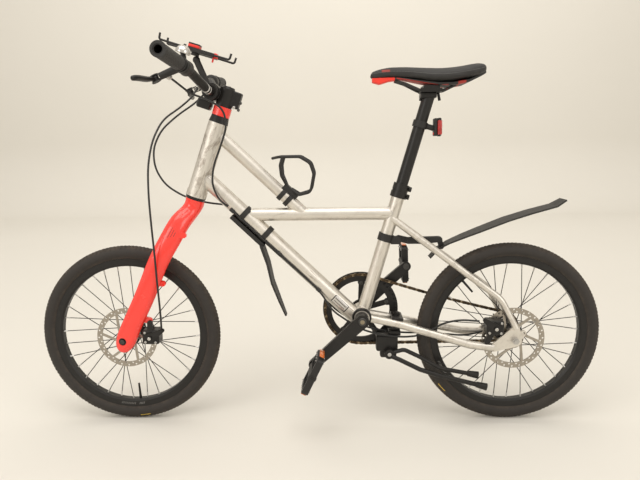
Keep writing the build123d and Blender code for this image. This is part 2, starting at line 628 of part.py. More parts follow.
# ---- brake levers and shifter
perch_at = GRIP_LENGTH + 24
lever_pin = at(bar_at(perch_at), 64, -6, -27)
lever_axis = Vector(0.46, 0, 0.888)
perch = rod(bar_at(perch_at + 9), bar_at(perch_at - 9), BAR_RADIUS + 5)
perch += rod(at(bar_at(perch_at), 10, 0, -6), lever_pin - Vector(4, 0, -2), 9, 8)
perch += rod(lever_pin - lever_axis * 8, lever_pin + lever_axis * 8, 11)
perch -= rod(lever_pin - lever_axis * 5.3, lever_pin + lever_axis * 5.3, 15)
perch += rod(lever_pin - lever_axis * 7, lever_pin + lever_axis * 7, 3)
barrel = at(lever_pin, -22, -2, 9)
perch += rod(barrel, at(barrel, -4, -28, -4), 5.5, 4)
perch -= rod(bar_at(perch_at + 30), bar_at(perch_at - 30), BAR_RADIUS + WELD_GAP)
shifter = rod(bar_at(GRIP_LENGTH + 3, -1), bar_at(GRIP_LENGTH + 12, -1), BAR_RADIUS + 4)
shift_pod = at(bar_at(GRIP_LENGTH + 8, -1), 4, 0, -28)
shifter += rod(at(shift_pod, 0, 12, 6), at(shift_pod, 0, 12, -6), 19)
shifter += rod(at(shift_pod, -2, 0.5, 17), at(shift_pod, -2, 0.5, 0), 6.4)
shifter -= rod(bar_at(GRIP_LENGTH - 20, -1), bar_at(GRIP_LENGTH + 60, -1), BAR_RADIUS + WELD_GAP)
save("bar_controls", group([perch, mirrored(perch), shifter]))

lever = rod(lever_pin - lever_axis * 4, lever_pin + lever_axis * 4, 8)
lever_away = Vector(lever_axis.Z, 0, -lever_axis.X)
lever_knee = lever_pin + lever_away * 8 + Y_UP * 27
lever_end = lever_pin + lever_away * 16 + Y_UP * 96
lever += bent([lever_pin + lever_away * 3 + Y_UP * 4, lever_knee, lever_end], 4.7, [30])
lever += Pos(lever_end) * Sphere(6)
lever -= rod(lever_pin - lever_axis * 9, lever_pin + lever_axis * 9, 3 + SHAFT_FIT)
save("left_brake_lever", lever)
save("right_brake_lever", mirrored(lever))

pod_low = at(shift_pod, 0, 12, -6.4)
thumb = rod(pod_low, at(pod_low, 0, 0, -4), 13)
thumb += bent([at(pod_low, -8, 0, -4.2), at(pod_low, -26, -4, -4.2), at(pod_low, -44, -18, -6)],
              3.4, [22])
save("shift_lever", thumb)

# ---- bell and holder on the bar
bell_at = bar_at(GRIP_LENGTH + 47)
bell_top = at(bell_at, 4, 0, 36)
bell = rod(bell_at - bar_way * 5, bell_at + bar_way * 5, BAR_RADIUS + 4)
bell += rod(bell_at, bell_top, 6)
bell -= rod(bell_at - bar_way * 30, bell_at + bar_way * 30, BAR_RADIUS + WELD_GAP)
dome = Sphere(17) - Sphere(15.2)
dome -= Pos(0, 0, -17) * Box(60, 60, 34)
dome = Location(at(bell_top, 0, 0, -3), (0, -20, 0)) * dome
bell_post = rod(bell_top, at(bell_top, 4.6, 0, 12.6), 3)
holder_y = 30.0
holder_clamp = rod(at(bar_centre, 0, holder_y - 5, 0), at(bar_centre, 0, holder_y + 6, 0),
                   BAR_CLAMP_RADIUS + 4)
holder_top = at(bar_centre, 31, holder_y, 76)
holder_clamp += rod(at(bar_centre, 5, holder_y, 14), holder_top, 8)
holder_clamp -= rod(bar_centre, at(bar_centre, 0, 90, 0), BAR_CLAMP_RADIUS + WELD_GAP)
holder_clamp += Pos(holder_top) * Sphere(9)
save("bar_fittings", group([bell + dome + bell_post, holder_clamp]))

HOLDER_TILT = -17.0
holder_centre = at(holder_top, -2, -8, 21)
holder = Pos(-14, 0, 0) * Box(64, 58, 9)
for sx in (-1, 1):
    for sy in (-1, 1):
        start = Vector(sx * 14, sy * 20, 0)
        corner = Vector(sx * 88, sy * 34, 0)
        holder += bent([start, corner, corner + Vector(sx * 1, 0, 15)], 2.6, [5])
holder += Pos(6, 12, 9) * Box(26, 26, 12)
holder += Pos(2, 8, -8) * Cylinder(10, 8)
holder = Location(holder_centre, (0, HOLDER_TILT, 0)) * holder
holder -= Pos(holder_top) * Sphere(9 + SHAFT_FIT)
save("phone_holder", holder)

# ---- disc calipers and their arms
ARM_PIN_RADIUS = 5.0


def caliper(centre, wheel_at, rotor_y, outer_y, foot_to, foot_y):
    """Caliper astride the rotor, with its mounting foot and its arm pin."""
    body = block(Vector(centre.X, (rotor_y - 12 + outer_y) / 2, centre.Z), 44,
                 outer_y - rotor_y + 12, 38, 0, 5)
    body += across(centre, 17, outer_y - 12, outer_y)
    body += across(centre, ARM_PIN_RADIUS, outer_y, outer_y + 9)
    body += plate(hull((centre.X, centre.Z, 8), (foot_to.X, foot_to.Z, 7)), foot_y - 3, foot_y + 3)
    body -= across(wheel_at, ROTOR_RADIUS + 2, rotor_y - 2.2, rotor_y + 2.2)
    return body


front_pad = at(front_axle_centre, -70, 0, 8)
front_face = FRONT_ROTOR_Y + 27
front_caliper = caliper(front_pad, front_axle_centre, FRONT_ROTOR_Y, front_face,
                        at(front_axle_centre, -70, 0, 46), LEG_Y - 0.5)
save("front_caliper", (front_caliper - fork).solids().sort_by(SortBy.VOLUME)[-1])

rear_pad = at(rear_axle_centre, 52, 0, 34)
rear_face = REAR_ROTOR_Y + 27
rear_caliper = caliper(rear_pad, rear_axle_centre, REAR_ROTOR_Y, rear_face,
                       at(rear_axle_centre, 70, 0, -2), stay_y + 3)
rear_caliper -= chainstay
rear_caliper -= seatstay
save("rear_caliper", rear_caliper.solids().sort_by(SortBy.VOLUME)[-1])


def caliper_arm(centre, face, toward):
    """Arm on the caliper's pin, with the cable's anchor at its end."""
    end = centre + toward
    arm = plate(hull((centre.X, centre.Z, 11), (end.X, end.Z, 5.5)), face + 0.4, face + 5.4)
    arm += across(end, 4, face + 5.4, face + 9)
    return arm - across(centre, ARM_PIN_RADIUS + SHAFT_FIT, face - 1, face + 20)


front_arm_way = Vector(-33, 0, 20)
rear_arm_way = Vector(28, 0, 22)
save("front_caliper_arm", caliper_arm(front_pad, front_face, front_arm_way))
save("rear_caliper_arm", caliper_arm(rear_pad, rear_face, rear_arm_way))

# ---- kickstand
stand_pin = at(bracket, -73, 0, -102)
mount = block(at(bracket, -68, 0, -78), 58, 34, 44, 0, 6)
mount += block(at(bracket, -72, 0, -101), 44, 26, 36, 0, 6)
mount += block(at(bracket, -88, 0, -50), 32, 32, 13, 0, 2)
mount += block(at(bracket, -90, 0, -34), 26, 15, 30)
mount += block(at(bracket, -94, 0, -7.5), 30, 62, 9, -8, 2)
mount += rod(at(bracket, -94, 0, -30), at(bracket, -94, 0, 5), 5)
mount += rod(at(bracket, -94, 0, -5), at(bracket, -94, 0, 4), 9)
mount += across(stand_pin, 4.5, -20, 34)
mount -= chainstay
mount -= mirrored(chainstay)
save("kickstand_mount", mount.solids().sort_by(SortBy.VOLUME)[-1])

upper_leg = [Vector(stand_pin.X, 24, stand_pin.Z), at(stand_pin, -38, 34, 14),
             at(stand_pin, -79, 41, -4), at(stand_pin, -131, 47, -33), at(stand_pin, -226, 50, -50)]
lower_leg = [at(stand_pin, -6, 30, -6), at(stand_pin, -28, 36, -14),
             at(stand_pin, -79, 48, -36), at(stand_pin, -125, 56, -48), at(stand_pin, -246, 63, -77)]
legs = across(stand_pin, 13, 17.3, 33)
legs += bent(upper_leg, 5.5, [18, 40, 40])
legs += bent(lower_leg, 6.0, [26, 40, 40])
for line, extra in ((upper_leg, 7.5), (lower_leg, 7.5)):
    way = (line[-1] - line[-2]).normalized()
    legs += rod(line[-1] - way * 24, line[-1] + way * 3, extra, extra + 2)
legs -= across(stand_pin, 4.5 + SHAFT_FIT, 0, 60)
save("kickstand", legs)

# ---- seatpost, saddle and tail light
post_foot = 200.0
post_top = 588.0
rail_z = seat(post_top).Z + 12
rail_y = 21.0
post_head = seat(post_top)
post = rod(seat(post_foot), seat(post_top), SEATPOST_RADIUS)
post += block(at(post_head, 2, 0, 1), 40, 34, 14, 0, 3)
post += block(at(post_head, -3, 0, 12), 52, 58, 9)
post += block(at(post_head, -3, 0, 20), 40, 58, 7)
for away in (-1, 1):
    post += rod(at(post_head, -3 + away * 24, 0, -12), at(post_head, -3 + away * 18, 0, 20.5), 3.5)
rail_low = at(post_head, 0, rail_y, 12)
rail_line = [at(rail_low, 86, -12, 25), at(rail_low, 62, -8, 18), at(rail_low, 24, 0, 0),
             at(rail_low, -36, 1, 0), at(rail_low, -78, 10, 20)]
rail = bent(rail_line, 3.5, [20, 24, 30])
for side in (-1, 1):
    post -= rod(at(rail_low, 60, (side - 1) * rail_y, 0), at(rail_low, -60, (side - 1) * rail_y, 0),
                3.5 + WELD_GAP)
save("seatpost", post - rail - mirrored(rail))


def saddle_section(x, half, low, high, soft):
    face = RectangleRounded(2 * half, high - low, min(soft, (high - low) / 2 - 0.6, half - 0.6))
    place = Plane(origin=Vector(x, 0, (low + high) / 2), x_dir=(0, 1, 0), z_dir=(1, 0, 0))
    return place * face


sx = post_head.X
sz = post_head.Z
cover_rows = [(146, 9, 47, 56), (140, 15, 46, 62), (120, 18, 50, 70), (70, 23, 46, 70),
              (20, 32, 38, 66), (-20, 46, 32, 64), (-55, 62, 31, 65), (-90, 68, 37, 69),
              (-120, 62, 50, 75), (-136, 50, 58, 76), (-142, 38, 62, 71)]
cover = loft([saddle_section(sx + x, half, sz + low, sz + high, 7)
              for x, half, low, high in cover_rows], ruled=True)
save("saddle_cover", cover)
shell_rows = [(142, 12, 34, 45), (124, 15, 29, 45.4), (100, 15, 36, 46), (70, 18, 40, 45),
              (20, 27, 30, 37), (-20, 38, 24, 31), (-55, 50, 22, 30), (-90, 55, 28, 36),
              (-120, 46, 42, 49), (-132, 38, 49, 55)]
shell = loft([saddle_section(sx + x, half, sz + low, sz + high - 0.8, 3)
              for x, half, low, high in shell_rows], ruled=True)
shell -= cover
shell = shell.solids().sort_by(SortBy.VOLUME)[-1]
rails = (rail + mirrored(rail)) - shell - cover
save("saddle_shell", group([shell, rails]))

light_at = 515.0
light = rod(seat(light_at - 8), seat(light_at + 8), SEATPOST_RADIUS + 3.5)
lamp_mid = seat(light_at, -40)
light += rod(seat(light_at, -15), lamp_mid, 7)
light -= rod(seat(light_at - 30), seat(light_at + 30), SEATPOST_RADIUS + WELD_GAP)
light += block(lamp_mid + Vector(0, 0, 4), 9, 30, 44, 0, 3)
lens = block(lamp_mid + Vector(-9.1, 0, 4), 9, 30, 46, 0, 4)
save("tail_light", group([light, lens - light]))

# ---- rear mudguard
guard_at = 215.0
strap = rod(seat(guard_at - 10), seat(guard_at + 10), SEAT_TUBE_RADIUS + 3)
strap += block(seat(guard_at, -27), 26, 22, 20, 0, 2)
guard_pin = at(seat(guard_at), -58, 0, -9)
strap += plate(hull((guard_pin.X, guard_pin.Z, 8), (guard_pin.X + 24, guard_pin.Z + 6, 8)), -5, 5)
strap -= rod(seat(0), seat(SEAT_TUBE_LENGTH), SEAT_TUBE_RADIUS + WELD_GAP)
strap += across(guard_pin, 3, -10, 10)
save("mudguard_strap", strap)

knob = at(guard_pin, -81, 0, 3)
arm_bar = hull((guard_pin.X, guard_pin.Z, 8), (guard_pin.X - 40, guard_pin.Z - 3, 5),
               (knob.X, knob.Z, 7))
arm = plate(arm_bar, 5.4, 8.6) + plate(arm_bar, -8.6, -5.4)
arm += across(knob, 3, -8.6, 8.6)
arm -= across(guard_pin, 3 + SHAFT_FIT, -20, 20)
arm += plate(hull((guard_pin.X - 34, guard_pin.Z - 2, 4), (guard_pin.X - 46, guard_pin.Z - 2, 4)),
             -6, 6)
save("mudguard_arm", arm)

blade_rows = [(-56, -45, 15), (-79, -20, 17), (-103, -6, 22), (-143, 11, 29), (-181, 26, 33),
              (-250, 53, 35), (-311, 72, 34), (-371, 88, 31), (-396, 103, 24)]
blade_sections = []
for number, (x, z, half) in enumerate(blade_rows):
    before = blade_rows[max(number - 1, 0)]
    after = blade_rows[min(number + 1, len(blade_rows) - 1)]
    way = Vector(after[0] - before[0], 0, after[1] - before[1])
    blade_sections.append(Plane(origin=at(guard_pin, x, 0, z), x_dir=(0, 1, 0),
                                z_dir=way) * Rectangle(2 * half, 4))
blade = loft(blade_sections, ruled=True)
blade += plate(hull((knob.X, knob.Z, 7), (knob.X - 6, knob.Z - 20, 6)), -5, 5)
blade -= across(knob, 3 + SHAFT_FIT, -20, 20)
arm_room = plate(hull((guard_pin.X, guard_pin.Z, 8.6), (knob.X, knob.Z, 9)), 5.1, 8.9)
blade -= arm_room
blade -= mirrored(arm_room)
save("rear_mudguard", blade.solids().sort_by(SortBy.VOLUME)[-1])

# ---- down tube mudguard
down_way = down_run.normalized()
down_under = Vector(down_way.Z, 0, -down_way.X)


def under(share, away, side=0.0):
    """Point below the down tube, measured along it from its foot."""
    return down_foot + down_way * share + down_under * away + Y_UP * side


down_length = down_run.length
guard_top = down_length - 126
guard_low = down_length - 240
spine_away = DOWN_TUBE_RADIUS + 5.4
spine_mid = under((guard_top + guard_low) / 2, spine_away)
spine_tilt = degrees(atan2(down_way.X, down_way.Z)) - 90
spine = Location(spine_mid, (0, spine_tilt, 0)) * Box(guard_top - guard_low, 34, 11)
flap_start = under(guard_low + 6, spine_away + 2)
flap_rows = [(flap_start, 24, 8), (at(flap_start, -16, 0, -50), 27, 6),
             (at(flap_start, -26, 0, -100), 27, 5), (at(flap_start, -44, 0, -150), 23, 4),
             (at(flap_start, -60, 0, -192), 12, 4)]
flap = loft([Plane(origin=spot, x_dir=(0, 1, 0), z_dir=(-0.25, 0, -1)) * Rectangle(2 * half, thick)
             for spot, half, thick in flap_rows], ruled=True)
front_guard = (spine + flap) - down_solid
cable_room = [rod(under(0, 12, side * 20.6), under(down_length, 12, side * 20.6), CABLE_RADIUS + 0.4)
              for side in (-1, 1)]
straps = [pipe(under(mid - 7, 0), under(mid + 7, 0), DOWN_TUBE_RADIUS + 3.2,
               DOWN_TUBE_RADIUS + WELD_GAP) - front_guard - cable_room - top_solid
          for mid in (guard_top - 22, guard_top - 98)]
save("front_mudguard", group([front_guard] + straps))

# ---- bottle cage on the upper tube
upper_way = (upper_top - upper_foot).normalized()
upper_over = Vector(-upper_way.Z, 0, upper_way.X)
cage_mid = upper_foot + upper_way * 66
cage_tilt = degrees(atan2(upper_way.X, upper_way.Z)) - 90
cage_block = Location(cage_mid + upper_over * 20, (0, cage_tilt, 0)) * Box(46, 26, 14)
cage_block += pipe(cage_mid - upper_way * 17, cage_mid - upper_way * 5, UPPER_TUBE_RADIUS + 3,
                   UPPER_TUBE_RADIUS)
cage_block += pipe(cage_mid + upper_way * 5, cage_mid + upper_way * 17, UPPER_TUBE_RADIUS + 3,
                   UPPER_TUBE_RADIUS)
cage_block -= rod(upper_top, upper_foot, UPPER_TUBE_RADIUS + WELD_GAP)
cage_block -= top_solid
CAGE_HALF = 38.0
CAGE_ROD = 3.6


def cage_point(x, z, y=0.0):
    return at(cage_mid, x, y, z)


arm_points = [cage_point(-16, 20, 9), cage_point(-36, 6, 20), cage_point(-66, 14, CAGE_HALF - 6),
              cage_point(-75, 60, CAGE_HALF), cage_point(-66, 87, CAGE_HALF),
              cage_point(-40, 103, CAGE_HALF), cage_point(12, 103, CAGE_HALF - 8),
              cage_point(32, 99, 0)]
strut_points = [cage_point(-4, 30, 9), cage_point(8, 56, CAGE_HALF - 12),
                cage_point(10, 82, CAGE_HALF - 6), cage_point(4, 102, CAGE_HALF - 7)]
cage_side = bent(arm_points, CAGE_ROD, [9, 16, 22, 18, 18, 14])
cage_side += bent(strut_points, CAGE_ROD, [14, 14])
cage = cage_block + cage_side + mirrored(cage_side)
save("bottle_cage", cage - rod(upper_top, upper_foot, UPPER_TUBE_RADIUS + WELD_GAP))

# ---- cables
stop_share = down_length - 112
run_away = 12.0
run_side = sqrt((DOWN_TUBE_RADIUS + CABLE_RADIUS + 0.6) ** 2 - run_away ** 2)
left_stop = under(stop_share, run_away, run_side)
right_stop = under(stop_share, run_away, -run_side)
lever_end_left = at(barrel, -4.2, -29.5, -4.1)
lever_end_right = Vector(lever_end_left.X, -lever_end_left.Y, lever_end_left.Z)
pod_end = at(shift_pod, 10, 29.2, 0)
arm_end = front_pad + front_arm_way
front_route = [lever_end_right, at(head(250), 100, -76, 22), at(head(250), 128, -48, -8),
               at(head(250), 163, -12, -38), at(head(250), 181, 26, -88),
               at(head(250), 187, 58, -152), at(head(250), 184, 76, -226),
               at(head(250), 179, 83, -302), at(head(250), 175, 83, -378),
               at(head(250), 173, 82, -452), at(head(250), 170, 80, -518),
               Vector(arm_end.X, front_face + 7, arm_end.Z + 6)]
shift_route = [pod_end, at(head(250), 96, -86, 6), at(head(250), 136, -62, -24),
               at(head(250), 178, -42, -64), at(head(250), 200, -34, -112),
               at(head(250), 197, -31, -164), at(head(250), 171, -30, -208),
               at(head(250), 122, -31.5, -240), at(head(250), 62, -27, -256),
               at(right_stop, 6, 0, 6)]
rear_route = [lever_end_left, at(head(250), 64, 86, 16), at(head(250), 34, 64, 6),
              at(head(250), -4, 44, -16), at(head(250), -10, 37, -60),
              at(head(250), 8, 36, -110), at(head(250), 28, 35, -158),
              at(head(250), 34, 32, -204), at(head(250), 20, 25, -242),
              at(left_stop, 6, 0, 6)]
save("steering_cables", group([cable("front brake cable", front_route),
                               cable("shift cable at the bar", shift_route),
                               cable("rear brake cable at the bar", rear_route)]))

rear_arm_end = rear_pad + rear_arm_way
bracket_side = run_side - 3
brake_run = [at(left_stop, 0.4, 0, 0.4), under(112, run_away, run_side),
             under(60, 29, bracket_side - 1), at(bracket, 4, bracket_side, -37),
             at(bracket, -55, 21.5, -53), at(bracket, -110, 22, -58),
             at(bracket, -150, 23.5, -54), at(bracket, -182, 27, -38),
             at(bracket, -210, 38, -16), at(bracket, -248, 62, 1),
             Vector(rear_arm_end.X + 15, rear_face + 5, rear_arm_end.Z - 1)]
shift_run = [at(right_stop, 0.4, 0, 0.4), under(112, run_away, -run_side),
             under(60, 29, 1 - bracket_side), at(bracket, 4, -bracket_side, -37),
             at(bracket, -55, -21.5, -53), at(bracket, -110, -23, -60),
             at(bracket, -168, -28, -62), at(bracket, -228, -35, -68),
             at(bracket, -286, -43, -76), at(rear_axle_centre, 46, -55.5, -16),
             at(rear_axle_centre, 24, -59, -9)]
held = [cable("rear brake cable on the frame", brake_run),
        cable("shift cable on the frame", shift_run)]
for share in (stop_share - 6, stop_share - 170, 122):
    for side in (-1, 1):
        near_end = under(share - 6, run_away, side * run_side)
        far_end = under(share + 6, run_away, side * run_side)
        held.append(pipe(near_end, far_end, CABLE_RADIUS + 2, CABLE_RADIUS + WELD_GAP)
                    - down_solid)
save("frame_cables", group(held))

# ---- joint centres, for the record
for name, spot in (("steering", head_base), ("crank", bracket), ("front_axle", front_axle_centre),
                   ("rear_axle", rear_axle_centre), ("left_pedal", left_pin),
                   ("right_pedal", right_pin), ("stand", stand_pin), ("guard", guard_pin),
                   ("knob", knob), ("lever", lever_pin), ("front_arm", front_pad),
                   ("rear_arm", rear_pad), ("pod", pod_low), ("holder", holder_top),
                   ("eyelet", eyelet), ("cage", cage_mid), ("bar", bar_centre), ("tip", tip)):
    print("point", name, round(spot.X, 4), round(spot.Y, 4), round(spot.Z, 4))
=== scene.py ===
import json
from math import atan2, cos, pi, radians, sin, sqrt, tan, hypot

import bmesh
import bpy
from mathutils import Matrix, Quaternion, Vector

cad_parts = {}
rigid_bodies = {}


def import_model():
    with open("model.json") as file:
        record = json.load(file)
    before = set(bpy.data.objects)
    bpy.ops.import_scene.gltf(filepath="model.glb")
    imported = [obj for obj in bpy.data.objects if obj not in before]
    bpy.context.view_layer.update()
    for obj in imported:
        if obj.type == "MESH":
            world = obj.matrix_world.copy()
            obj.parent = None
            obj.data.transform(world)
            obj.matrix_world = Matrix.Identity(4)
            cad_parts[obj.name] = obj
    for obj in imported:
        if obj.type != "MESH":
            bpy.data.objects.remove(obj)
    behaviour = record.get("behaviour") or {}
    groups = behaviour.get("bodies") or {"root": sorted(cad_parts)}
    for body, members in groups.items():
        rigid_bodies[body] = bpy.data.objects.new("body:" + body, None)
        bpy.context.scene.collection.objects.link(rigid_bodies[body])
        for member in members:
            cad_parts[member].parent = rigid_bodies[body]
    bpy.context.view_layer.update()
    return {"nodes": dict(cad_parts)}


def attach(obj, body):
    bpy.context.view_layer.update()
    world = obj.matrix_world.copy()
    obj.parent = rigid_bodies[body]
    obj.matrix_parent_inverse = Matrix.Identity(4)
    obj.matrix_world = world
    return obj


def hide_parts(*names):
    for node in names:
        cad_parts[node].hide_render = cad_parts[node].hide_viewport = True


# Looks for a small-wheel bicycle: raw brushed frame, one-sided red fork, black fittings.
# Everything is in metres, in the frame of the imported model.

for leftover in list(bpy.data.objects):
    bpy.data.objects.remove(leftover)
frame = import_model()
nodes = frame["nodes"]
MM = 0.001


def mm(x, y, z):
    return Vector((x, y, z)) * MM


# ---- the places the looks need, in millimetres
AXLE_Z = 240.0
FRONT = Vector((503.5, 0, AXLE_Z))
REAR = Vector((-503.5, 0, AXLE_Z))
BRACKET = Vector((-116, 0, 290.6))
HEAD_UP = Vector((-cos(radians(70.5)), 0, sin(radians(70.5))))
HEAD_OUT = Vector((sin(radians(70.5)), 0, cos(radians(70.5))))
HEAD_BASE = Vector((312.574, 0, 609))
SEAT_UP = Vector((-cos(radians(73.5)), 0, sin(radians(73.5))))
SEAT_BASE = Vector((-119, 0, 290.6))
POST_TOP = SEAT_BASE + SEAT_UP * 588
BAR_MID = Vector((258.1638, 0, 870.4965))
BAR_TIP = Vector((298.1638, 320, 927.4965))
BAR_KNEE = BAR_MID + Vector((30, 118, 41.04))
BAR_WAY = (BAR_TIP - BAR_KNEE).normalized()
LEFT_PIN = Vector((9.7373, 0, 176.1879))
RIGHT_PIN = Vector((-241.7373, 0, 405.0121))
FRONT_PAD = Vector((433.5, 0, 248))
REAR_PAD = Vector((-451.5, 0, 274))


def head(along, forward=0.0, side=0.0):
    return HEAD_BASE + HEAD_UP * along + HEAD_OUT * forward + Vector((0, side, 0))


def seat(along, forward=0.0, side=0.0):
    out = Vector((sin(radians(73.5)), 0, cos(radians(73.5))))
    return SEAT_BASE + SEAT_UP * along + out * forward + Vector((0, side, 0))


def bar_at(from_tip, side=1):
    spot = BAR_TIP - BAR_WAY * from_tip
    return Vector((spot.x, side * spot.y, spot.z))


# ---- shader maths
class Val:
    """A shader socket whose operators add Math nodes."""

    def __init__(self, paint, socket):
        self.paint = paint
        self.socket = socket

    def _with(self, operation, other, swapped=False, clamp=False):
        first, second = (other, self) if swapped else (self, other)
        return self.paint.node("ShaderNodeMath", {"operation": operation, "use_clamp": clamp},
                               [first, second])

    def __add__(self, other):
        return self._with("ADD", other)

    __radd__ = __add__

    def __sub__(self, other):
        return self._with("SUBTRACT", other)

    def __rsub__(self, other):
        return self._with("SUBTRACT", other, True)

    def __mul__(self, other):
        return self._with("MULTIPLY", other)

    __rmul__ = __mul__

    def __truediv__(self, other):
        return self._with("DIVIDE", other)

    def __gt__(self, other):
        return self._with("GREATER_THAN", other)

    def __lt__(self, other):
        return self._with("LESS_THAN", other)

    def __pow__(self, other):
        return self._with("POWER", other)

    def size(self):
        return self.paint.node("ShaderNodeMath", {"operation": "ABSOLUTE"}, [self])

    def wave(self):
        return self.paint.node("ShaderNodeMath", {"operation": "SINE"}, [self])

    def least(self, other):
        return self._with("MINIMUM", other)

    def most(self, other):
        return self._with("MAXIMUM", other)

    def held(self):
        return self._with("MULTIPLY", 1.0, clamp=True)

    def step(self, low, high):
        """0 below low, 1 above high, straight between."""
        return self.paint.node("ShaderNodeMapRange", {"clamp": True}, [self, low, high, 0.0, 1.0])


class Paint:
    """A material with one Principled shader, and one method for any other node."""

    def __init__(self, name, color, rough, metal=0.0, **fixed):
        self.material = bpy.data.materials.new(name)
        self.material.use_nodes = True
        self.tree = self.material.node_tree
        self.shader = self.tree.nodes["Principled BSDF"]
        self.put("Base Color", color)
        self.put("Roughness", rough)
        self.put("Metallic", metal)
        for socket, value in fixed.items():
            self.put(socket.replace("_", " "), value)
        self.place = self.node("ShaderNodeTexCoord", {}, [], "Object")

    def fill(self, socket, value):
        if isinstance(value, Val):
            self.tree.links.new(value.socket, socket)
        elif isinstance(value, (tuple, list, Vector)):
            wide = len(socket.default_value)
            socket.default_value = (tuple(value) + (1.0,))[:wide]
        elif value is not None:
            socket.default_value = value

    def put(self, socket, value):
        self.fill(self.shader.inputs[socket], value)

    def node(self, kind, settings, values=(), out=0):
        made = self.tree.nodes.new(kind)
        for setting, value in settings.items():
            if setting == "stops":
                for spot, tone in value[2:]:
                    made.color_ramp.elements.new(spot)
                for element, (spot, tone) in zip(made.color_ramp.elements, value):
                    element.position = spot
                    element.color = (*tone, 1.0)
            else:
                setattr(made, setting, value)
        if isinstance(values, dict):
            for socket, value in values.items():
                self.fill(made.inputs[socket], value)
        else:
            for socket, value in zip(made.inputs, values):
                self.fill(socket, value)
        return Val(self, made.outputs[out])

    def noise(self, scale, detail=3.0, rough=0.55, at=None):
        return self.node("ShaderNodeTexNoise", {},
                         {"Vector": at or self.place, "Scale": scale, "Detail": detail,
                          "Roughness": rough}, "Factor" if "Factor" in NOISE_OUT else "Fac")

    def cells(self, scale, at=None, feature="F1"):
        return self.node("ShaderNodeTexVoronoi", {"feature": feature},
                         {"Vector": at or self.place, "Scale": scale}, "Distance")

    def parts(self, at=None):
        made = self.node("ShaderNodeSeparateXYZ", {}, [at or self.place])
        outs = made.socket.node.outputs
        return Val(self, outs[0]), Val(self, outs[1]), Val(self, outs[2])

    def stretched(self, way, share):
        """The place with its distance along way shrunk to share, so patterns run along it."""
        way = Vector(way).normalized()
        along = self.node("ShaderNodeVectorMath", {"operation": "DOT_PRODUCT"},
                          [self.place, tuple(way)], "Value")
        back = self.node("ShaderNodeVectorMath", {"operation": "SCALE"}, {"Vector": tuple(way)})
        self.fill(back.socket.node.inputs["Scale"], along * (1 - share))
        return self.node("ShaderNodeVectorMath", {"operation": "SUBTRACT"}, [self.place, back])

    def blend(self, factor, low, high):
        return self.node("ShaderNodeMix", {"data_type": "RGBA"},
                         {0: factor, 6: low, 7: high}, 2)

    def bump(self, height, strength=0.5, depth=0.001):
        self.put("Normal", self.node("ShaderNodeBump", {},
                                     {"Strength": strength, "Distance": depth, "Height": height}))

    def near(self, spot, reach, soft=0.0005):
        """1 within reach of a spot in millimetres, 0 outside."""
        far = self.node("ShaderNodeVectorMath", {"operation": "DISTANCE"},
                        [self.place, tuple(Vector(spot) * MM)], "Value")
        return 1 - far.step(reach * MM - soft, reach * MM + soft)


probe = bpy.data.materials.new("probe")
probe.use_nodes = True
NOISE_OUT = [o.name for o in probe.node_tree.nodes.new("ShaderNodeTexNoise").outputs]
bpy.data.materials.remove(probe)

RAW = (0.746, 0.711, 0.649)
BLACK = (0.010, 0.009, 0.008)
CORAL = (0.95, 0.034, 0.02)


def brushed(name, way, color=RAW, rough=0.33, scratched=0.0):
    """Raw metal brushed along its tube, with cloudy handling marks and fine scratches."""
    paint = Paint(name, color, rough, 1.0)
    along = paint.stretched(way, 0.03)
    grain = paint.noise(900.0, 4.0, 0.6, along)
    cloud = paint.noise(22.0, 5.0, 0.6)
    hair = paint.noise(260.0, 2.0, 0.5, paint.stretched(way, 0.08)).step(0.60, 0.68)
    dull = (cloud - 0.5) * 0.5 + (grain - 0.5) * 0.25
    tone = paint.blend((0.5 + dull).held(), tuple(v * 0.72 for v in color),
                       tuple(min(v * 1.18, 1.0) for v in color))
    marks = hair * cloud.step(0.45, 0.6)
    if scratched:
        cross = paint.noise(70.0, 6.0, 0.75, paint.stretched((0.5, 0.3, -0.8), 0.1)).step(0.5, 0.56)
        patch = paint.noise(14.0, 6.0, 0.7).step(0.42, 0.56)
        marks = (marks + cross * patch * scratched).held()
    paint.put("Base Color", paint.blend(marks * 0.6, tone, (0.22, 0.17, 0.13)))
    paint.put("Roughness", (rough - 0.06) + (grain * 0.16) + (cloud * 0.10))
    paint.bump(grain + cloud * 0.6, 0.12, 0.0004)
    return paint.material


def black_metal(name, rough=0.38, color=BLACK, coat=0.15):
    """Satin black finish with faint dust and rubbed places."""
    paint = Paint(name, color, rough, 0.0, Coat_Weight=coat, Coat_Roughness=0.25,
                  Specular_IOR_Level=0.3)
    dust = paint.noise(60.0, 6.0, 0.7)
    fine = paint.noise(1500.0, 2.0, 0.5)
    paint.put("Base Color", paint.blend((dust - 0.45).held() * 0.5, color,
                                        tuple(v * 2.6 + 0.01 for v in color)))
    paint.put("Roughness", rough - 0.07 + dust * 0.22)
    paint.bump(fine, 0.1, 0.0002)
    return paint


def moulded(name, color=BLACK, rough=0.55):
    """Moulded plastic with a fine spark-eroded grain."""
    paint = Paint(name, color, rough)
    grain = paint.cells(1400.0)
    cloud = paint.noise(40.0, 5.0, 0.6)
    paint.put("Base Color", paint.blend((cloud - 0.4).held() * 0.4, color,
                                        tuple(v * 2.4 + 0.012 for v in color)))
    paint.put("Roughness", rough - 0.08 + cloud * 0.2)
    paint.bump(grain, 0.25, 0.0003)
    return paint


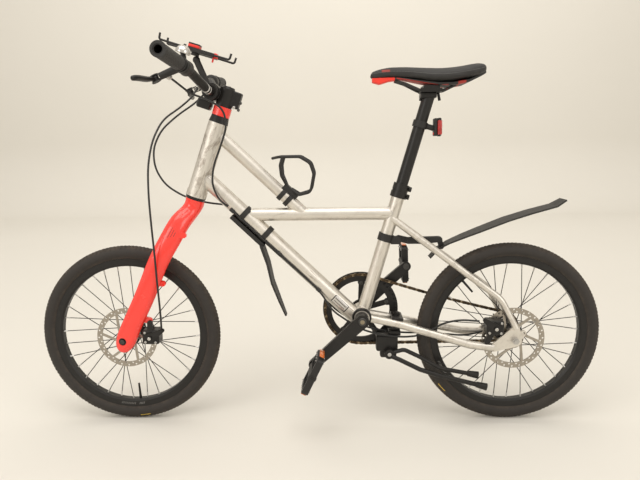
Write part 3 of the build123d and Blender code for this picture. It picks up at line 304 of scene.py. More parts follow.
def bright_steel(name, color=(0.6, 0.59, 0.57), rough=0.28, centre=None):
    """Ground steel; with a centre its grinding runs round that centre."""
    paint = Paint(name, color, rough, 1.0)
    if centre is None:
        grain = paint.noise(700.0, 4.0, 0.6)
    else:
        x, y, z = paint.parts()
        x = x - centre.x * MM
        z = z - centre.z * MM
        ring = (x * x + z * z) ** 0.5
        grain = paint.noise(1.0, 2.0, 0.5, paint.node("ShaderNodeCombineXYZ", {}, [ring * 3200.0, 0.0, 0.0]))
    cloud = paint.noise(50.0, 4.0, 0.6)
    paint.put("Base Color", paint.blend(cloud, tuple(v * 0.7 for v in color), color))
    paint.put("Roughness", rough - 0.06 + grain * 0.18)
    paint.bump(grain, 0.15, 0.0002)
    return paint


# ---- finishes
def coral_paint():
    """Gloss red lacquer with a little orange peel and a few dull scuffs."""
    paint = Paint("coral lacquer", CORAL, 0.3, 0.0, Coat_Weight=0.7, Coat_Roughness=0.08)
    peel = paint.noise(260.0, 2.0, 0.5)
    scuff = paint.noise(45.0, 7.0, 0.75).step(0.60, 0.72)
    x, y, z = paint.parts()
    along = (z * 1000.0 - 520.0) * 0.88 - (x * 1000.0 - 363.0) * 0.47
    across = (z * 1000.0 - 520.0) * 0.47 + (x * 1000.0 - 363.0) * 0.88
    bars = 0.0
    for offset, half in ((-6.0, 6.0), (0.0, 10.0), (6.0, 14.0)):
        bars = (1 - (across - offset).size().step(1.0, 1.4)) * (1 - along.size().step(half, half + 0.4)) + bars
    bars = (bars * y.step(0.045, 0.046)).held()
    cloud = paint.noise(9.0, 3.0, 0.5)
    tone = paint.blend(cloud, tuple(v * 0.92 for v in CORAL), CORAL)
    paint.put("Base Color", paint.blend(bars * 0.85, paint.blend(scuff * 0.2, tone, (0.80, 0.13, 0.09)),
                                        (0.30, 0.02, 0.014)))
    paint.put("Roughness", 0.26 + scuff * 0.25)
    paint.bump(peel, 0.06, 0.0003)
    return paint.material


def tyre_rubber():
    """Worn rubber: dusty brown tread, smoother dark sidewall with a moulded rib."""
    paint = Paint("tyre rubber", (0.02, 0.017, 0.015), 0.75)
    x, y, z = paint.parts()
    side = y.size().step(0.011, 0.0165)
    dust = paint.noise(55.0, 7.0, 0.7)
    fine = paint.noise(900.0, 3.0, 0.6)
    dark = paint.blend(dust, (0.013, 0.011, 0.010), (0.032, 0.026, 0.021))
    brown = paint.blend(dust.step(0.3, 0.75), (0.022, 0.018, 0.015), (0.075, 0.058, 0.044))
    paint.put("Base Color", paint.blend(side, brown, dark))
    paint.put("Roughness", 0.78 - side * 0.14 + dust * 0.1)
    paint.bump(fine + dust * 0.4, 0.35, 0.0005)
    return paint.material


def soft_rubber():
    """Grip rubber with a raised diamond net, shiny where hands rub."""
    paint = Paint("grip rubber", (0.014, 0.0135, 0.013), 0.62)
    x, y, z = paint.parts()
    net = ((y * 1500.0 + z * 1100.0).wave() * (y * 1500.0 - z * 1100.0).wave()).size()
    rub = paint.noise(30.0, 5.0, 0.6)
    paint.put("Base Color", paint.blend(rub, (0.010, 0.0098, 0.0095), (0.034, 0.032, 0.030)))
    paint.put("Roughness", 0.5 + rub * 0.3)
    paint.bump(net, 0.5, 0.0006)
    return paint.material


def oiled_chain(name, light, dark):
    """Oily steel with grime between the bright places."""
    paint = Paint(name, light, 0.42, 0.9)
    grime = paint.noise(160.0, 5.0, 0.65)
    paint.put("Base Color", paint.blend(grime.step(0.35, 0.7), light, dark))
    paint.put("Roughness", 0.30 + grime * 0.3)
    paint.put("Metallic", 1.0 - grime.step(0.5, 0.8) * 0.6)
    paint.bump(grime, 0.3, 0.0004)
    return paint.material


def reflector(name, color):
    """Moulded reflector plastic with small prisms behind the face."""
    paint = Paint(name, color, 0.2, 0.0, Coat_Weight=1.0, Coat_Roughness=0.05)
    prism = paint.cells(420.0)
    paint.put("Base Color", paint.blend(prism.step(0.1, 0.75), tuple(min(v * 1.5, 1) for v in color),
                                        tuple(v * 0.5 for v in color)))
    paint.put("Roughness", 0.15 + prism * 0.2)
    paint.bump(prism, 0.4, 0.0006)
    return paint.material


def seat_leather():
    """Matt synthetic leather with pores, creases and a short red mark on the nose."""
    paint = Paint("saddle leather", (0.011, 0.0105, 0.010), 0.55)
    x, y, z = paint.parts()
    pores = paint.cells(1100.0)
    crease = paint.noise(240.0, 5.0, 0.65)
    wear = paint.noise(24.0, 5.0, 0.6)
    tone = paint.blend(wear, (0.009, 0.0085, 0.008), (0.026, 0.025, 0.024))
    mark = 1 - (x * 1000.0 + 177.0).size().step(9.0, 11.0)
    red = mark * (z * 1000.0).step(911.0, 912.0) * (1 - (z * 1000.0).step(917.0, 918.0)) * y.step(0.004, 0.005) * 0.35
    paint.put("Base Color", paint.blend(red, tone, (0.72, 0.045, 0.02)))
    paint.put("Roughness", 0.46 + wear * 0.2)
    paint.bump(pores * 0.7 + crease * 0.5, 0.35, 0.0005)
    return paint.material


def shell_plastic():
    """Moulded saddle shell: a red nose cap and two red bumpers, black elsewhere."""
    paint = moulded("saddle shell")
    x, y, z = paint.parts()
    ahead = x * 1000.0
    height = z * 1000.0
    nose = ahead.step(-199.5, -199.0)
    outside = y.size().step(0.026, 0.027)
    front = (1 - (ahead + 320.0).size().step(7.0, 7.5)) * (1 - height.step(878.0, 878.5)) * outside
    rear = (1 - (ahead + 358.0).size().step(9.0, 9.5)) * (1 - height.step(886.0, 886.5)) * outside
    fall = (height - (896.0 + (ahead + 209.0) * 0.2)).size()
    line = (1 - fall.step(1.5, 1.9)) * (1 - (ahead + 254.0).size().step(50.0, 51.0))
    grain = paint.noise(300.0, 4.0, 0.6)
    tone = paint.blend(grain, (0.010, 0.0095, 0.009), (0.028, 0.027, 0.026))
    paint.put("Base Color", paint.blend((nose + (front + rear + line) * 0.45).held(), tone, (0.78, 0.035, 0.018)))
    return paint.material


def bar_black():
    """Black bar with two pale rings and light handling marks on its middle."""
    paint = black_metal("bar black", 0.34)
    dust = paint.noise(60.0, 6.0, 0.7)
    x, y, z = paint.parts()
    far = y.size() * 1000.0
    ring = far.step(57.4, 57.8) * (1 - far.step(59.8, 60.2))
    ring = ring + far.step(65.4, 65.8) * (1 - far.step(67.8, 68.2))
    base = paint.blend((dust - 0.45).held() * 0.5, BLACK, (0.04, 0.038, 0.036))
    paint.put("Base Color", paint.blend(ring, base, (0.75, 0.74, 0.71)))
    return paint.material


black = black_metal("satin black")
black_soft = black_metal("dull black", 0.5, (0.016, 0.0155, 0.015), 0.0)
plastic = moulded("moulded black")
cable_skin = moulded("cable skin", (0.010, 0.010, 0.010), 0.4).material
steel = bright_steel("bright steel").material
dark_steel = bright_steel("dark steel", (0.10, 0.098, 0.095), 0.36).material
silver = bright_steel("silver fittings", (0.70, 0.68, 0.65), 0.22).material
coral = coral_paint()
orange = reflector("orange reflector", (0.85, 0.16, 0.01))
red_lens = reflector("red lens", (0.42, 0.008, 0.006))
rubber = tyre_rubber()
pale = moulded("pale print", (0.72, 0.71, 0.68), 0.5).material
red_plastic = moulded("red plastic", (0.75, 0.03, 0.02), 0.4).material

BRACKET_WAY = {
    "head_tube": (HEAD_UP, 1.0), "seat_tube": (SEAT_UP, 0.25), "down_tube": ((0.72, 0, 0.69), 0.25),
    "top_tube": ((1, 0, 0), 0.2), "upper_tube": ((0.73, 0, 0.69), 0.3),
    "bottom_bracket_shell": ((0, 1, 0), 0.3), "left_chainstay": ((-0.99, 0.12, -0.1), 0.35),
    "right_chainstay": ((-0.99, -0.12, -0.1), 0.35), "left_seatstay": ((0.72, 0, 0.69), 0.3),
    "right_seatstay": ((0.72, 0, 0.69), 0.3)}
for node, (way, worn) in BRACKET_WAY.items():
    rough = 0.4 if node == "head_tube" else 0.34
    finish = brushed("raw " + node.replace("_", " "), way, RAW, rough, worn)
    nodes[node].data.materials.clear()
    nodes[node].data.materials.append(finish)


def finish_nodes(material, *names):
    for name in names:
        nodes[name].data.materials.clear()
        nodes[name].data.materials.append(material)


finish_nodes(coral, "fork", "headset_spacer")
finish_nodes(black.material, "stem", "seatpost", "front_hub", "rear_hub", "front_caliper",
             "rear_caliper", "left_crank", "right_crank", "chainring", "kickstand_mount",
             "kickstand", "left_brake_lever", "right_brake_lever", "front_axle", "headset_cups",
             "seat_clamp", "front_rim", "rear_rim", "front_caliper_arm", "rear_caliper_arm")
finish_nodes(bar_black(), "handlebar")
finish_nodes(soft_rubber(), "grips")
finish_nodes(plastic.material, "bar_controls", "bar_fittings", "shift_lever", "phone_holder",
             "left_pedal", "right_pedal", "tail_light", "mudguard_strap",
             "mudguard_arm", "rear_mudguard", "front_mudguard", "bottle_cage")
finish_nodes(cable_skin, "steering_cables", "frame_cables")
finish_nodes(steel, "front_spokes", "rear_spokes", "rear_axle")
finish_nodes(bright_steel("front rotor", (0.44, 0.40, 0.345), 0.27, centre=FRONT).material, "front_rotor")
finish_nodes(bright_steel("rear rotor", (0.44, 0.40, 0.345), 0.27, centre=REAR).material, "rear_rotor")
finish_nodes(dark_steel, "rear_sprocket")
chain_finish = oiled_chain("oiled rollers", (0.42, 0.33, 0.21), (0.07, 0.045, 0.028))
chain_dark = oiled_chain("oiled plates", (0.13, 0.095, 0.06), (0.02, 0.014, 0.010))
weld_finish = brushed("weld metal", (1, 0, 0), (0.60, 0.575, 0.54), 0.38)
worn_brass = bright_steel("worn bolt", (0.36, 0.31, 0.22), 0.4).material
finish_nodes(chain_finish, "chain")
finish_nodes(rubber, "front_tyre", "rear_tyre")
finish_nodes(seat_leather(), "saddle_cover")
finish_nodes(shell_plastic(), "saddle_shell")

# ---- floor, backdrop, light and camera
def stage_sheet():
    """Pale floor that curves up into the wall behind."""
    verts = []
    faces = []
    for x in (-16.0, 16.0):
        for step in range(17):
            turn = radians(90 * step / 16)
            verts.append((x, -4.6 - 0.8 * sin(turn), 0.8 - 0.8 * cos(turn)))
        verts.append((x, -5.4, 7.0))
        verts.append((x, 16.0, 0.0))
    count = 19
    order = [18] + list(range(18))
    for one, two in zip(order, order[1:]):
        faces.append((one, two, two + count, one + count))
    mesh = bpy.data.meshes.new("floor")
    mesh.from_pydata(verts, [], faces)
    sheet = bpy.data.objects.new("floor", mesh)
    bpy.context.scene.collection.objects.link(sheet)
    for face in mesh.polygons:
        face.use_smooth = True
    paint = Paint("pale paper", (0.70, 0.68, 0.63), 0.85)
    cloud = paint.noise(0.8, 3.0, 0.5)
    paint.put("Base Color", paint.blend(cloud, (0.69, 0.67, 0.62), (0.72, 0.70, 0.65)))
    mesh.materials.append(paint.material)


stage_sheet()


def lamp(name, place, aim, size, power, tone=(1, 0.97, 0.93)):
    data = bpy.data.lights.new(name, "AREA")
    data.shape = "RECTANGLE"
    data.size, data.size_y = size
    data.energy = power
    data.color = tone
    made = bpy.data.objects.new(name, data)
    made.location = place
    made.rotation_mode = "QUATERNION"
    made.rotation_quaternion = (Vector(aim) - Vector(place)).to_track_quat("-Z", "Y")
    bpy.context.scene.collection.objects.link(made)


lamp("overhead", (0.2, 0.9, 3.4), (0, 0, 0.3), (3.2, 2.4), 54)
lamp("front left", (2.6, 2.6, 1.9), (0, 0, 0.5), (1.8, 1.8), 27)
lamp("front right", (-2.7, 2.4, 1.7), (0, 0, 0.5), (1.8, 1.8), 22)
lamp("wall wash", (0.0, -2.6, 4.4), (0.0, -5.4, 1.4), (7.0, 1.0), 95)
world = bpy.data.worlds.new("soft room")
world.use_nodes = True
world.node_tree.nodes["Background"].inputs["Color"].default_value = (1.0, 0.935, 0.84, 1)
world.node_tree.nodes["Background"].inputs["Strength"].default_value = 0.84
bpy.context.scene.world = world

yaw, pitch, roll = radians(1.648), radians(9.125), radians(-0.726)
ahead = Vector((sin(yaw) * cos(pitch), -cos(yaw) * cos(pitch), -sin(pitch)))
right = ahead.cross(Vector((0, 0, 1))).normalized()
above = right.cross(ahead)
right_turned = right * cos(roll) + above * sin(roll)
above_turned = above * cos(roll) - right * sin(roll)
camera_data = bpy.data.cameras.new("camera")
camera_data.sensor_width = 36
camera_data.lens = 585 / 640 * 36
camera_data.clip_start = 0.05
camera = bpy.data.objects.new("camera", camera_data)
turn = Matrix((right_turned, above_turned, -ahead)).transposed().to_4x4()
camera.matrix_world = Matrix.Translation((-0.0521, 1.5126, 0.7337)) @ turn
bpy.context.scene.collection.objects.link(camera)
bpy.context.scene.camera = camera
bpy.context.scene.view_settings.view_transform = "Standard"


# ---- making pieces
def link_object(name, mesh):
    made = bpy.data.objects.new(name, mesh)
    bpy.context.scene.collection.objects.link(made)
    return made


def add(name, mesh, body, material, stand_for=(), angle=35):
    """A finished piece riding on a body, smooth except at edges sharper than angle."""
    mesh.materials.clear()
    mesh.materials.append(material)
    for face in mesh.polygons:
        face.use_smooth = True
    mesh.set_sharp_from_angle(angle=radians(angle))
    made = link_object(name, mesh)
    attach(made, body)
    if stand_for:
        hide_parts(*stand_for)
    return made


def closed(builder, merge=1e-6):
    """Mesh from a bmesh, its doubles merged and its faces turned outward."""
    bmesh.ops.remove_doubles(builder, verts=builder.verts, dist=merge)
    bmesh.ops.recalc_face_normals(builder, faces=builder.faces)
    mesh = bpy.data.meshes.new("part")
    builder.to_mesh(mesh)
    builder.free()
    return mesh


def grid_mesh(rows, loop=True, caps=True):
    """Closed skin over rows of points; each row is a ring."""
    builder = bmesh.new()
    rings = [[builder.verts.new(spot * MM) for spot in row] for row in rows]
    count = len(rows[0])
    spans = list(zip(rings, rings[1:]))
    if not caps:
        spans.append((rings[-1], rings[0]))
    for one, two in spans:
        for number in range(count):
            after = (number + 1) % count
            builder.faces.new((one[number], one[after], two[after], two[number]))
    if caps:
        builder.faces.new(rings[0])
        builder.faces.new(rings[-1])
    return closed(builder)


def frame_of(way, hint=Vector((0, 0, 1))):
    """Two directions square to way."""
    way = Vector(way).normalized()
    if abs(way.dot(hint)) > 0.95:
        hint = Vector((1, 0, 0))
    first = way.cross(hint).normalized()
    return first, way.cross(first)


def lathe(profile, centre=Vector((0, 0, 0)), way=Vector((0, 0, 1)), sides=48):
    """Turned piece: profile is (radius, distance along way); a radius of 0 closes an end."""
    way = Vector(way).normalized()
    first, second = frame_of(way)
    builder = bmesh.new()
    rings = []
    for radius, along in profile:
        if radius < 1e-6:
            rings.append([builder.verts.new((centre + way * along) * MM)])
            continue
        ring = []
        for number in range(sides):
            turn = 2 * pi * number / sides
            spot = centre + way * along + (first * cos(turn) + second * sin(turn)) * radius
            ring.append(builder.verts.new(spot * MM))
        rings.append(ring)
    spans = list(zip(rings, rings[1:]))
    if len(rings[0]) > 1:
        spans.append((rings[-1], rings[0]))
    for one, two in spans:
        for number in range(sides):
            after = (number + 1) % sides
            corners = [one[number % len(one)], one[after % len(one)],
                       two[after % len(two)], two[number % len(two)]]
            corners = list(dict.fromkeys(corners))
            if len(corners) > 2:
                builder.faces.new(corners)
    return closed(builder)


def soft_box(size, centre=Vector((0, 0, 0)), turn=Matrix.Identity(3), edge=1.5, steps=2):
    """Block with rounded edges."""
    builder = bmesh.new()
    bmesh.ops.create_cube(builder, size=1.0)
    for vert in builder.verts:
        vert.co = Vector(vert.co[i] * size[i] for i in range(3))
    bmesh.ops.bevel(builder, geom=list(builder.edges), offset=edge, segments=steps, affect="EDGES",
                    profile=0.5)
    for vert in builder.verts:
        vert.co = (centre + turn @ vert.co) * MM
    return closed(builder)


def joined(*meshes):
    builder = bmesh.new()
    for mesh in meshes:
        builder.from_mesh(mesh)
    return closed(builder, 1e-7)


def tube_mesh(points, radii, sides=16):
    """Round tube through points, with a radius at each, closed by flat ends."""
    rows = []
    points = [Vector(one) for one in points]
    side = None
    for number, (spot, radius) in enumerate(zip(points, radii)):
        before = points[max(number - 1, 0)]
        after = points[min(number + 1, len(points) - 1)]
        way = (after - before).normalized()
        first, second = frame_of(way) if side is None else (None, None)
        if side is not None:
            second = way.cross(side).normalized()
            first = second.cross(way).normalized()
        side = first
        rows.append([spot + (first * cos(2 * pi * n / sides) + way.cross(first) * sin(2 * pi * n / sides))
                     * radius for n in range(sides)])
    return grid_mesh(rows)


def group_tree(name, sockets, build):
    """A Geometry Nodes group with named inputs; build adds its nodes and returns its result."""
    tree = bpy.data.node_groups.new(name, "GeometryNodeTree")
    tree.interface.new_socket("Geometry", in_out="INPUT", socket_type="NodeSocketGeometry")
    for label, kind in sockets:
        tree.interface.new_socket(label, in_out="INPUT", socket_type=kind)
    tree.interface.new_socket("Geometry", in_out="OUTPUT", socket_type="NodeSocketGeometry")
    start = tree.nodes.new("NodeGroupInput")
    end = tree.nodes.new("NodeGroupOutput")
    made = build(tree, start)
    real = tree.nodes.new("GeometryNodeRealizeInstances")
    coat = tree.nodes.new("GeometryNodeSetMaterial")
    tree.links.new(made, real.inputs[0])
    tree.links.new(real.outputs[0], coat.inputs["Geometry"])
    tree.links.new(start.outputs["Material"], coat.inputs["Material"])
    tree.links.new(coat.outputs[0], end.inputs[0])
    return tree


def copies(tree, start):
    turn = tree.nodes.new("GeometryNodeInputNamedAttribute")
    turn.data_type = "FLOAT_VECTOR"
    turn.inputs["Name"].default_value = "turn"
    spin = tree.nodes.new("FunctionNodeEulerToRotation")
    part = tree.nodes.new("GeometryNodeObjectInfo")
    put = tree.nodes.new("GeometryNodeInstanceOnPoints")
    tree.links.new(turn.outputs["Attribute"], spin.inputs[0])
    tree.links.new(start.outputs["Part"], part.inputs["Object"])
    tree.links.new(start.outputs["Geometry"], put.inputs["Points"])
    tree.links.new(part.outputs["Geometry"], put.inputs["Instance"])
    tree.links.new(spin.outputs[0], put.inputs["Rotation"])
    tree.links.new(start.outputs["Size"], put.inputs["Scale"])
    return put.outputs[0]


def drawn_wires(tree, start):
    line = tree.nodes.new("GeometryNodeMeshToCurve")
    ring = tree.nodes.new("GeometryNodeCurvePrimitiveCircle")
    sweep = tree.nodes.new("GeometryNodeCurveToMesh")
    ring.inputs["Resolution"].default_value = 8
    sweep.inputs["Fill Caps"].default_value = True
    tree.links.new(start.outputs["Geometry"], line.inputs[0])
    tree.links.new(start.outputs["Wire radius"], ring.inputs["Radius"])
    tree.links.new(line.outputs[0], sweep.inputs["Curve"])
    tree.links.new(ring.outputs[0], sweep.inputs["Profile Curve"])
    return sweep.outputs[0]


COPIES = group_tree("set of equal parts", [("Part", "NodeSocketObject"), ("Size", "NodeSocketFloat"),
                                           ("Material", "NodeSocketMaterial")], copies)
WIRES = group_tree("drawn wires", [("Wire radius", "NodeSocketFloat"),
                                   ("Material", "NodeSocketMaterial")], drawn_wires)


def run_tree(tree, source, values):
    """Plain mesh of source after the tree."""
    holder = link_object("holder", source)
    modifier = holder.modifiers.new("nodes", "NODES")
    modifier.node_group = tree
    for item in tree.interface.items_tree:
        if item.in_out == "INPUT" and item.name in values:
            modifier[item.identifier] = values[item.name]
    graph = bpy.context.evaluated_depsgraph_get()
    graph.update()
    made = bpy.data.meshes.new_from_object(holder.evaluated_get(graph), depsgraph=graph)
    holder.modifiers.clear()
    bpy.data.objects.remove(holder)
    return made


def repeat(name, part, places, body, material, stand_for=(), angle=35):
    """The same part at many places; a place is a point in millimetres and a rotation."""
    source = bpy.data.meshes.new("places")
    source.from_pydata([Vector(spot) * MM for spot, turn in places], [], [])
    turns = source.attributes.new("turn", "FLOAT_VECTOR", "POINT")
    flat = [value for spot, turn in places for value in turn.to_euler("XYZ")]
    turns.data.foreach_set("vector", flat)
    model = link_object("model", part)
    made = run_tree(COPIES, source, {"Part": model, "Size": 1.0, "Material": material})
    bpy.data.objects.remove(model)
    return add(name, made, body, material, stand_for, angle)


def wires(name, lines, radius, body, material, stand_for=()):
    """Round wires along polylines in millimetres."""
    spots = [Vector(spot) * MM for line in lines for spot in line]
    edges = []
    start = 0
    for line in lines:
        edges += [(start + n, start + n + 1) for n in range(len(line) - 1)]
        start += len(line)
    source = bpy.data.meshes.new("lines")
    source.from_pydata(spots, edges, [])
    made = run_tree(WIRES, source, {"Wire radius": radius * MM, "Material": material})
    return add(name, made, body, material, stand_for, 50)


def facing(way, hint=Vector((0, 0, 1))):
    """Rotation whose Z is way."""
    first, second = frame_of(way, hint)
    return Matrix((first, Vector(way).normalized().cross(first), Vector(way).normalized())).transposed()


def bolt_head(radius, height, sides=18):
    """Cap screw head with its socket, standing on z = 0."""
    return lathe([(0, height * 0.45), (radius * 0.5, height * 0.45), (radius * 0.55, height),
                  (radius * 0.86, height), (radius, height * 0.82), (radius, 0), (0, 0)],
                 sides=sides)


# ---- wheels
def wheel(prefix, centre, flanges, flange_radius, first, rotor_y, mark_at):
    """Tyre with shallow tread, wire spokes, nipples, rotor bolts and rim marks."""
    body = prefix + "_wheel"
    casing = []
    mid = 221.5
    for number in range(29):
        turn = radians(-128 + 256 * number / 28)
        bulge = 17.75 + 0.12 * cos(turn * 3)
        casing.append((mid + bulge * cos(turn), bulge * sin(turn)))
    bead = [(207.2, 12.6), (206.25, 11.6), (206.25, 9.1), (203.0, 8.7), (203.0, 6.6), (208.5, 9.4)]
    casing += bead
    for number in range(9):
        turn = radians(128 - 256 * number / 8)
        casing.append((mid + 14.6 * cos(turn), 14.6 * sin(turn)))
    casing += [(radius, -level) for radius, level in reversed(bead)]
    add(body + "_tyre_casing", lathe(casing, centre, (0, 1, 0), 144), body, rubber,
        (prefix + "_tyre",), 60)
    block = soft_box((5.6, 2.5, 1.1), edge=0.3, steps=1)
    places = []
    for row, (lean, count, twist) in enumerate(((0, 150, 0), (14, 150, 32), (-14, 150, -32),
                                                (28, 150, 55), (-28, 150, -55), (41, 110, 80),
                                                (-41, 110, -80))):
        across = radians(lean)
        for number in range(count):
            turn = 2 * pi * (number + 0.5 * (row % 2)) / count
            out = Vector((cos(turn), 0, sin(turn)))
            normal = out * cos(across) + Vector((0, 1, 0)) * sin(across)
            along = Vector((-sin(turn), 0, cos(turn)))
            side = normal.cross(along)
            way = along * cos(radians(twist)) + side * sin(radians(twist))
            spot = centre + out * mid + normal * 17.95
            places.append((spot, Matrix((way, normal.cross(way), normal)).transposed()))
    repeat(body + "_tread", block, places, body, rubber, ())
    lines = []
    nipples = []
    heads = []
    for number in range(32):
        turn = radians(first + 360 / 32 * number)
        left = number % 2 == 0
        lean = 58 if number // 2 % 2 == 0 else -58
        foot_turn = turn + radians(lean)
        side = 1 if left else -1
        level = flanges[0 if left else 1] + (1.6 if lean > 0 else -1.6) * side
        foot = centre + Vector(((flange_radius - 3.0) * cos(foot_turn), level + (2.6 if lean > 0 else -2.6)
                                * side, (flange_radius - 3.0) * sin(foot_turn)))
        end = centre + Vector((185.7 * cos(turn), 3.0 * side, 185.7 * sin(turn)))
        way = (end - foot).normalized()
        inside = foot - Vector((0, (2.4 if lean > 0 else -2.4) * side, 0))
        lines.append([inside, foot, end])
        nipples.append((end - way * 12.0, facing(way)))
        outward = Vector((0, side if lean > 0 else -side, 0))
        heads.append((foot + outward * 0.2, facing(outward)))
    wires(body + "_spoke_wires", lines, 1.1, body, spoke_black, (prefix + "_spokes",))
    nipple = lathe([(0, 0), (1.7, 0), (1.9, 1), (1.9, 9), (2.5, 10.5), (2.5, 12.3), (0, 12.3)], sides=8)
    repeat(body + "_nipples", nipple, nipples, body, steel, ())
    head = lathe([(0, 1.1), (1.0, 0.9), (1.8, 0.2), (1.8, -0.2), (0, -0.2)], sides=8)
    repeat(body + "_spoke_heads", head, heads, body, steel, ())
    bolts = []
    for number in range(6):
        turn = radians(60 * number + 12)
        bolts.append((centre + Vector((22 * cos(turn), rotor_y + 0.9, 22 * sin(turn))),
                      facing(Vector((0, 1, 0)))))
    repeat(body + "_rotor_bolts", bolt_head(3.4, 2.2, 12), bolts, body, dark_steel, ())
    bars = []
    for start, count, gap in ((mark_at, 4, 1.1), (mark_at + 7, 9, 1.3)):
        for number in range(count):
            turn = radians(start + gap * number)
            out = Vector((cos(turn), 0, sin(turn)))
            for side in (-1, 1):
                normal = Vector((0, side, 0))
                way = (out + Vector((-sin(turn), 0, cos(turn))) * 0.45).normalized()
                bars.append((centre + out * 197 + normal * 12.02,
                             Matrix((way, normal.cross(way), normal)).transposed()))
    repeat(body + "_rim_marks", soft_box((6.5, 1.3, 0.14), edge=0.05, steps=1), bars, body,
           dim_print, ())
    dashes = []
    for number in range(7):
        turn = radians(mark_at - 3 + 1.0 * number)
        out = Vector((cos(turn), 0, sin(turn)))
        for side in (-1, 1):
            normal = (Vector((0, side * 0.9, 0)) + out * 0.43).normalized()
            along = Vector((-sin(turn), 0, cos(turn)))
            spot = centre + out * (mid + 17.9 * normal.dot(out)) + Vector((0, 17.9 * normal.y, 0))
            dashes.append((spot, Matrix((along, normal.cross(along), normal)).transposed()))
    repeat(body + "_tyre_dashes", soft_box((2.6, 3.0, 0.16), edge=0.05, steps=1), dashes, body,
           yellow_print, ())


spoke_black = black_metal("spoke black", 0.35, (0.02, 0.018, 0.016)).material
dim_print = moulded("dim print", (0.16, 0.155, 0.15), 0.5).material
yellow_print = moulded("yellow print", (0.62, 0.42, 0.05), 0.6).material
wheel("front", FRONT, (20.0, -30.0), 29.0, 2.0, 39.0, -97)
wheel("rear", REAR, (26.0, -26.0), 33.0, 9.6, 53.6, -41)


# ---- chain, chainring bolts, bracket cups
def chain_path():
    """Points close together along the chain's line, round ring and sprocket."""
    big = 12.7 / (2 * sin(pi / 48))
    small = 12.7 / (2 * sin(pi / 20))
    run = BRACKET - REAR
    reach = hypot(run.x, run.z)
    base = atan2(run.z, run.x)
    lean = acos_of((big - small) / reach)
    points = []
    for start, end, radius, centre in ((-(pi - lean), pi - lean, big, BRACKET),):
        for number in range(241):
            turn = base + start + (end - start) * number / 240
            points.append(Vector((centre.x + radius * cos(turn), -46, centre.z + radius * sin(turn))))
    for number in range(1, 60):
        share = number / 60
        low = points[240]
        high = REAR + Vector((small * cos(base + pi - lean), -46, small * sin(base + pi - lean)))
        spot = low.lerp(high, share)
        points.append(spot - Vector((0, 0, 5.0 * sin(pi * share))))
    for number in range(101):
        turn = base + (pi - lean) + 2 * lean * number / 100
        points.append(Vector((REAR.x + small * cos(turn), -46, REAR.z + small * sin(turn))))
    last = points[-1]
    for number in range(1, 60):
        points.append(last.lerp(points[0], number / 60))
    return points


def acos_of(value):
    return pi / 2 - atan2(value, sqrt(1 - value * value))


def spaced(points, pitch):
    """Points of a closed line at equal distances near the pitch."""
    loop = points + [points[0]]
    length = sum((two - one).length for one, two in zip(loop, loop[1:]))
    count = 2 * round(length / pitch / 2)
    step = length / count
    made = []
    gone = 0.0
    wanted = 0.0
    for one, two in zip(loop, loop[1:]):
        size = (two - one).length
        while wanted <= gone + size and len(made) < count:
            made.append(one.lerp(two, (wanted - gone) / size))
            wanted += step
        gone += size
    return made


def link_plate(low, high, waist):
    """Figure-of-eight side plate of a chain link along X, between two levels of Z."""
    rim = []
    for number in range(24):
        turn = 2 * pi * number / 24
        x = 6.35 * (1 if cos(turn) >= 0 else -1) * min(1.0, abs(cos(turn)) * 1.6) + 4.1 * cos(turn)
        y = 4.1 * sin(turn) * (waist + (1 - waist) * min(1.0, abs(x) / 6.35))
        rim.append((x, y))
    return grid_mesh([[Vector((x, y, low)) for x, y in rim], [Vector((x, y, high)) for x, y in rim]])


links = spaced(chain_path(), 12.7)
outer = []
inner = []
for number, spot in enumerate(links):
    after = links[(number + 1) % len(links)]
    way = (after - spot).normalized()
    side = Vector((0, 1, 0))
    place = ((spot + after) / 2, Matrix((way, side.cross(way), side)).transposed())
    (outer if number % 2 else inner).append(place)
pins = [lathe([(0, -4.4), (1.7, -4.3), (1.8, -4.1), (1.8, 4.1), (1.7, 4.3), (0, 4.4)],
              Vector((x, 0, 0)), sides=8) for x in (-6.35, 6.35)]
rollers = [lathe([(0, -1.6), (3.8, -1.6), (3.8, 1.6), (0, 1.6)], Vector((x, 0, 0)), sides=10)
           for x in (-6.35, 6.35)]
repeat("chain_outer_links", joined(link_plate(2.75, 3.8, 0.72), link_plate(-3.8, -2.75, 0.72), *pins),
       outer, "frame", chain_dark, ("chain",))
repeat("chain_inner_links", joined(link_plate(1.65, 2.65, 0.72), link_plate(-2.65, -1.65, 0.72),
                                   *rollers), inner, "frame", chain_finish, ())

ring_bolts = []
for number in range(5):
    turn = radians(72 * number + 20)
    for side, level in ((1, -44.7), (-1, -50.4)):
        ring_bolts.append((BRACKET + Vector((73 * cos(turn), level, 73 * sin(turn))),
                           facing(Vector((0, side, 0)))))
repeat("chainring_bolts", bolt_head(5.6, 2.0, 18), ring_bolts, "crankset", dark_steel, ())
cup = lathe([(18.6, 0), (25.6, 0), (25.6, 1.4), (24.6, 2.0), (24.6, 6.2), (23.4, 7.6), (18.6, 7.6)],
            sides=48)
repeat("bracket_cup_rings", cup, [(BRACKET + Vector((0, 34.1, 0)), facing(Vector((0, 1, 0))))],
       "frame", black.material, ())
notches = []
for number in range(16):
    turn = 2 * pi * number / 16
    out = Vector((cos(turn), 0, sin(turn)))
    notches.append((BRACKET + out * 24.7 + Vector((0, 38.3, 0)),
                    Matrix((Vector((0, 1, 0)), out.cross(Vector((0, 1, 0))), out)).transposed()))
repeat("bracket_cup_notches", soft_box((4.2, 2.6, 1.0), edge=0.4, steps=1), notches, "frame",
       black.material, ())
add("crank_bolt_left", lathe([(0, 1.0), (4.2, 1.0), (4.8, 2.2), (9.6, 2.2), (10.6, 1.2), (10.6, -1.0),
                              (0, -1.0)], BRACKET + Vector((0, 76, 0)), (0, 1, 0), 32),
    "crankset", dark_steel, ())
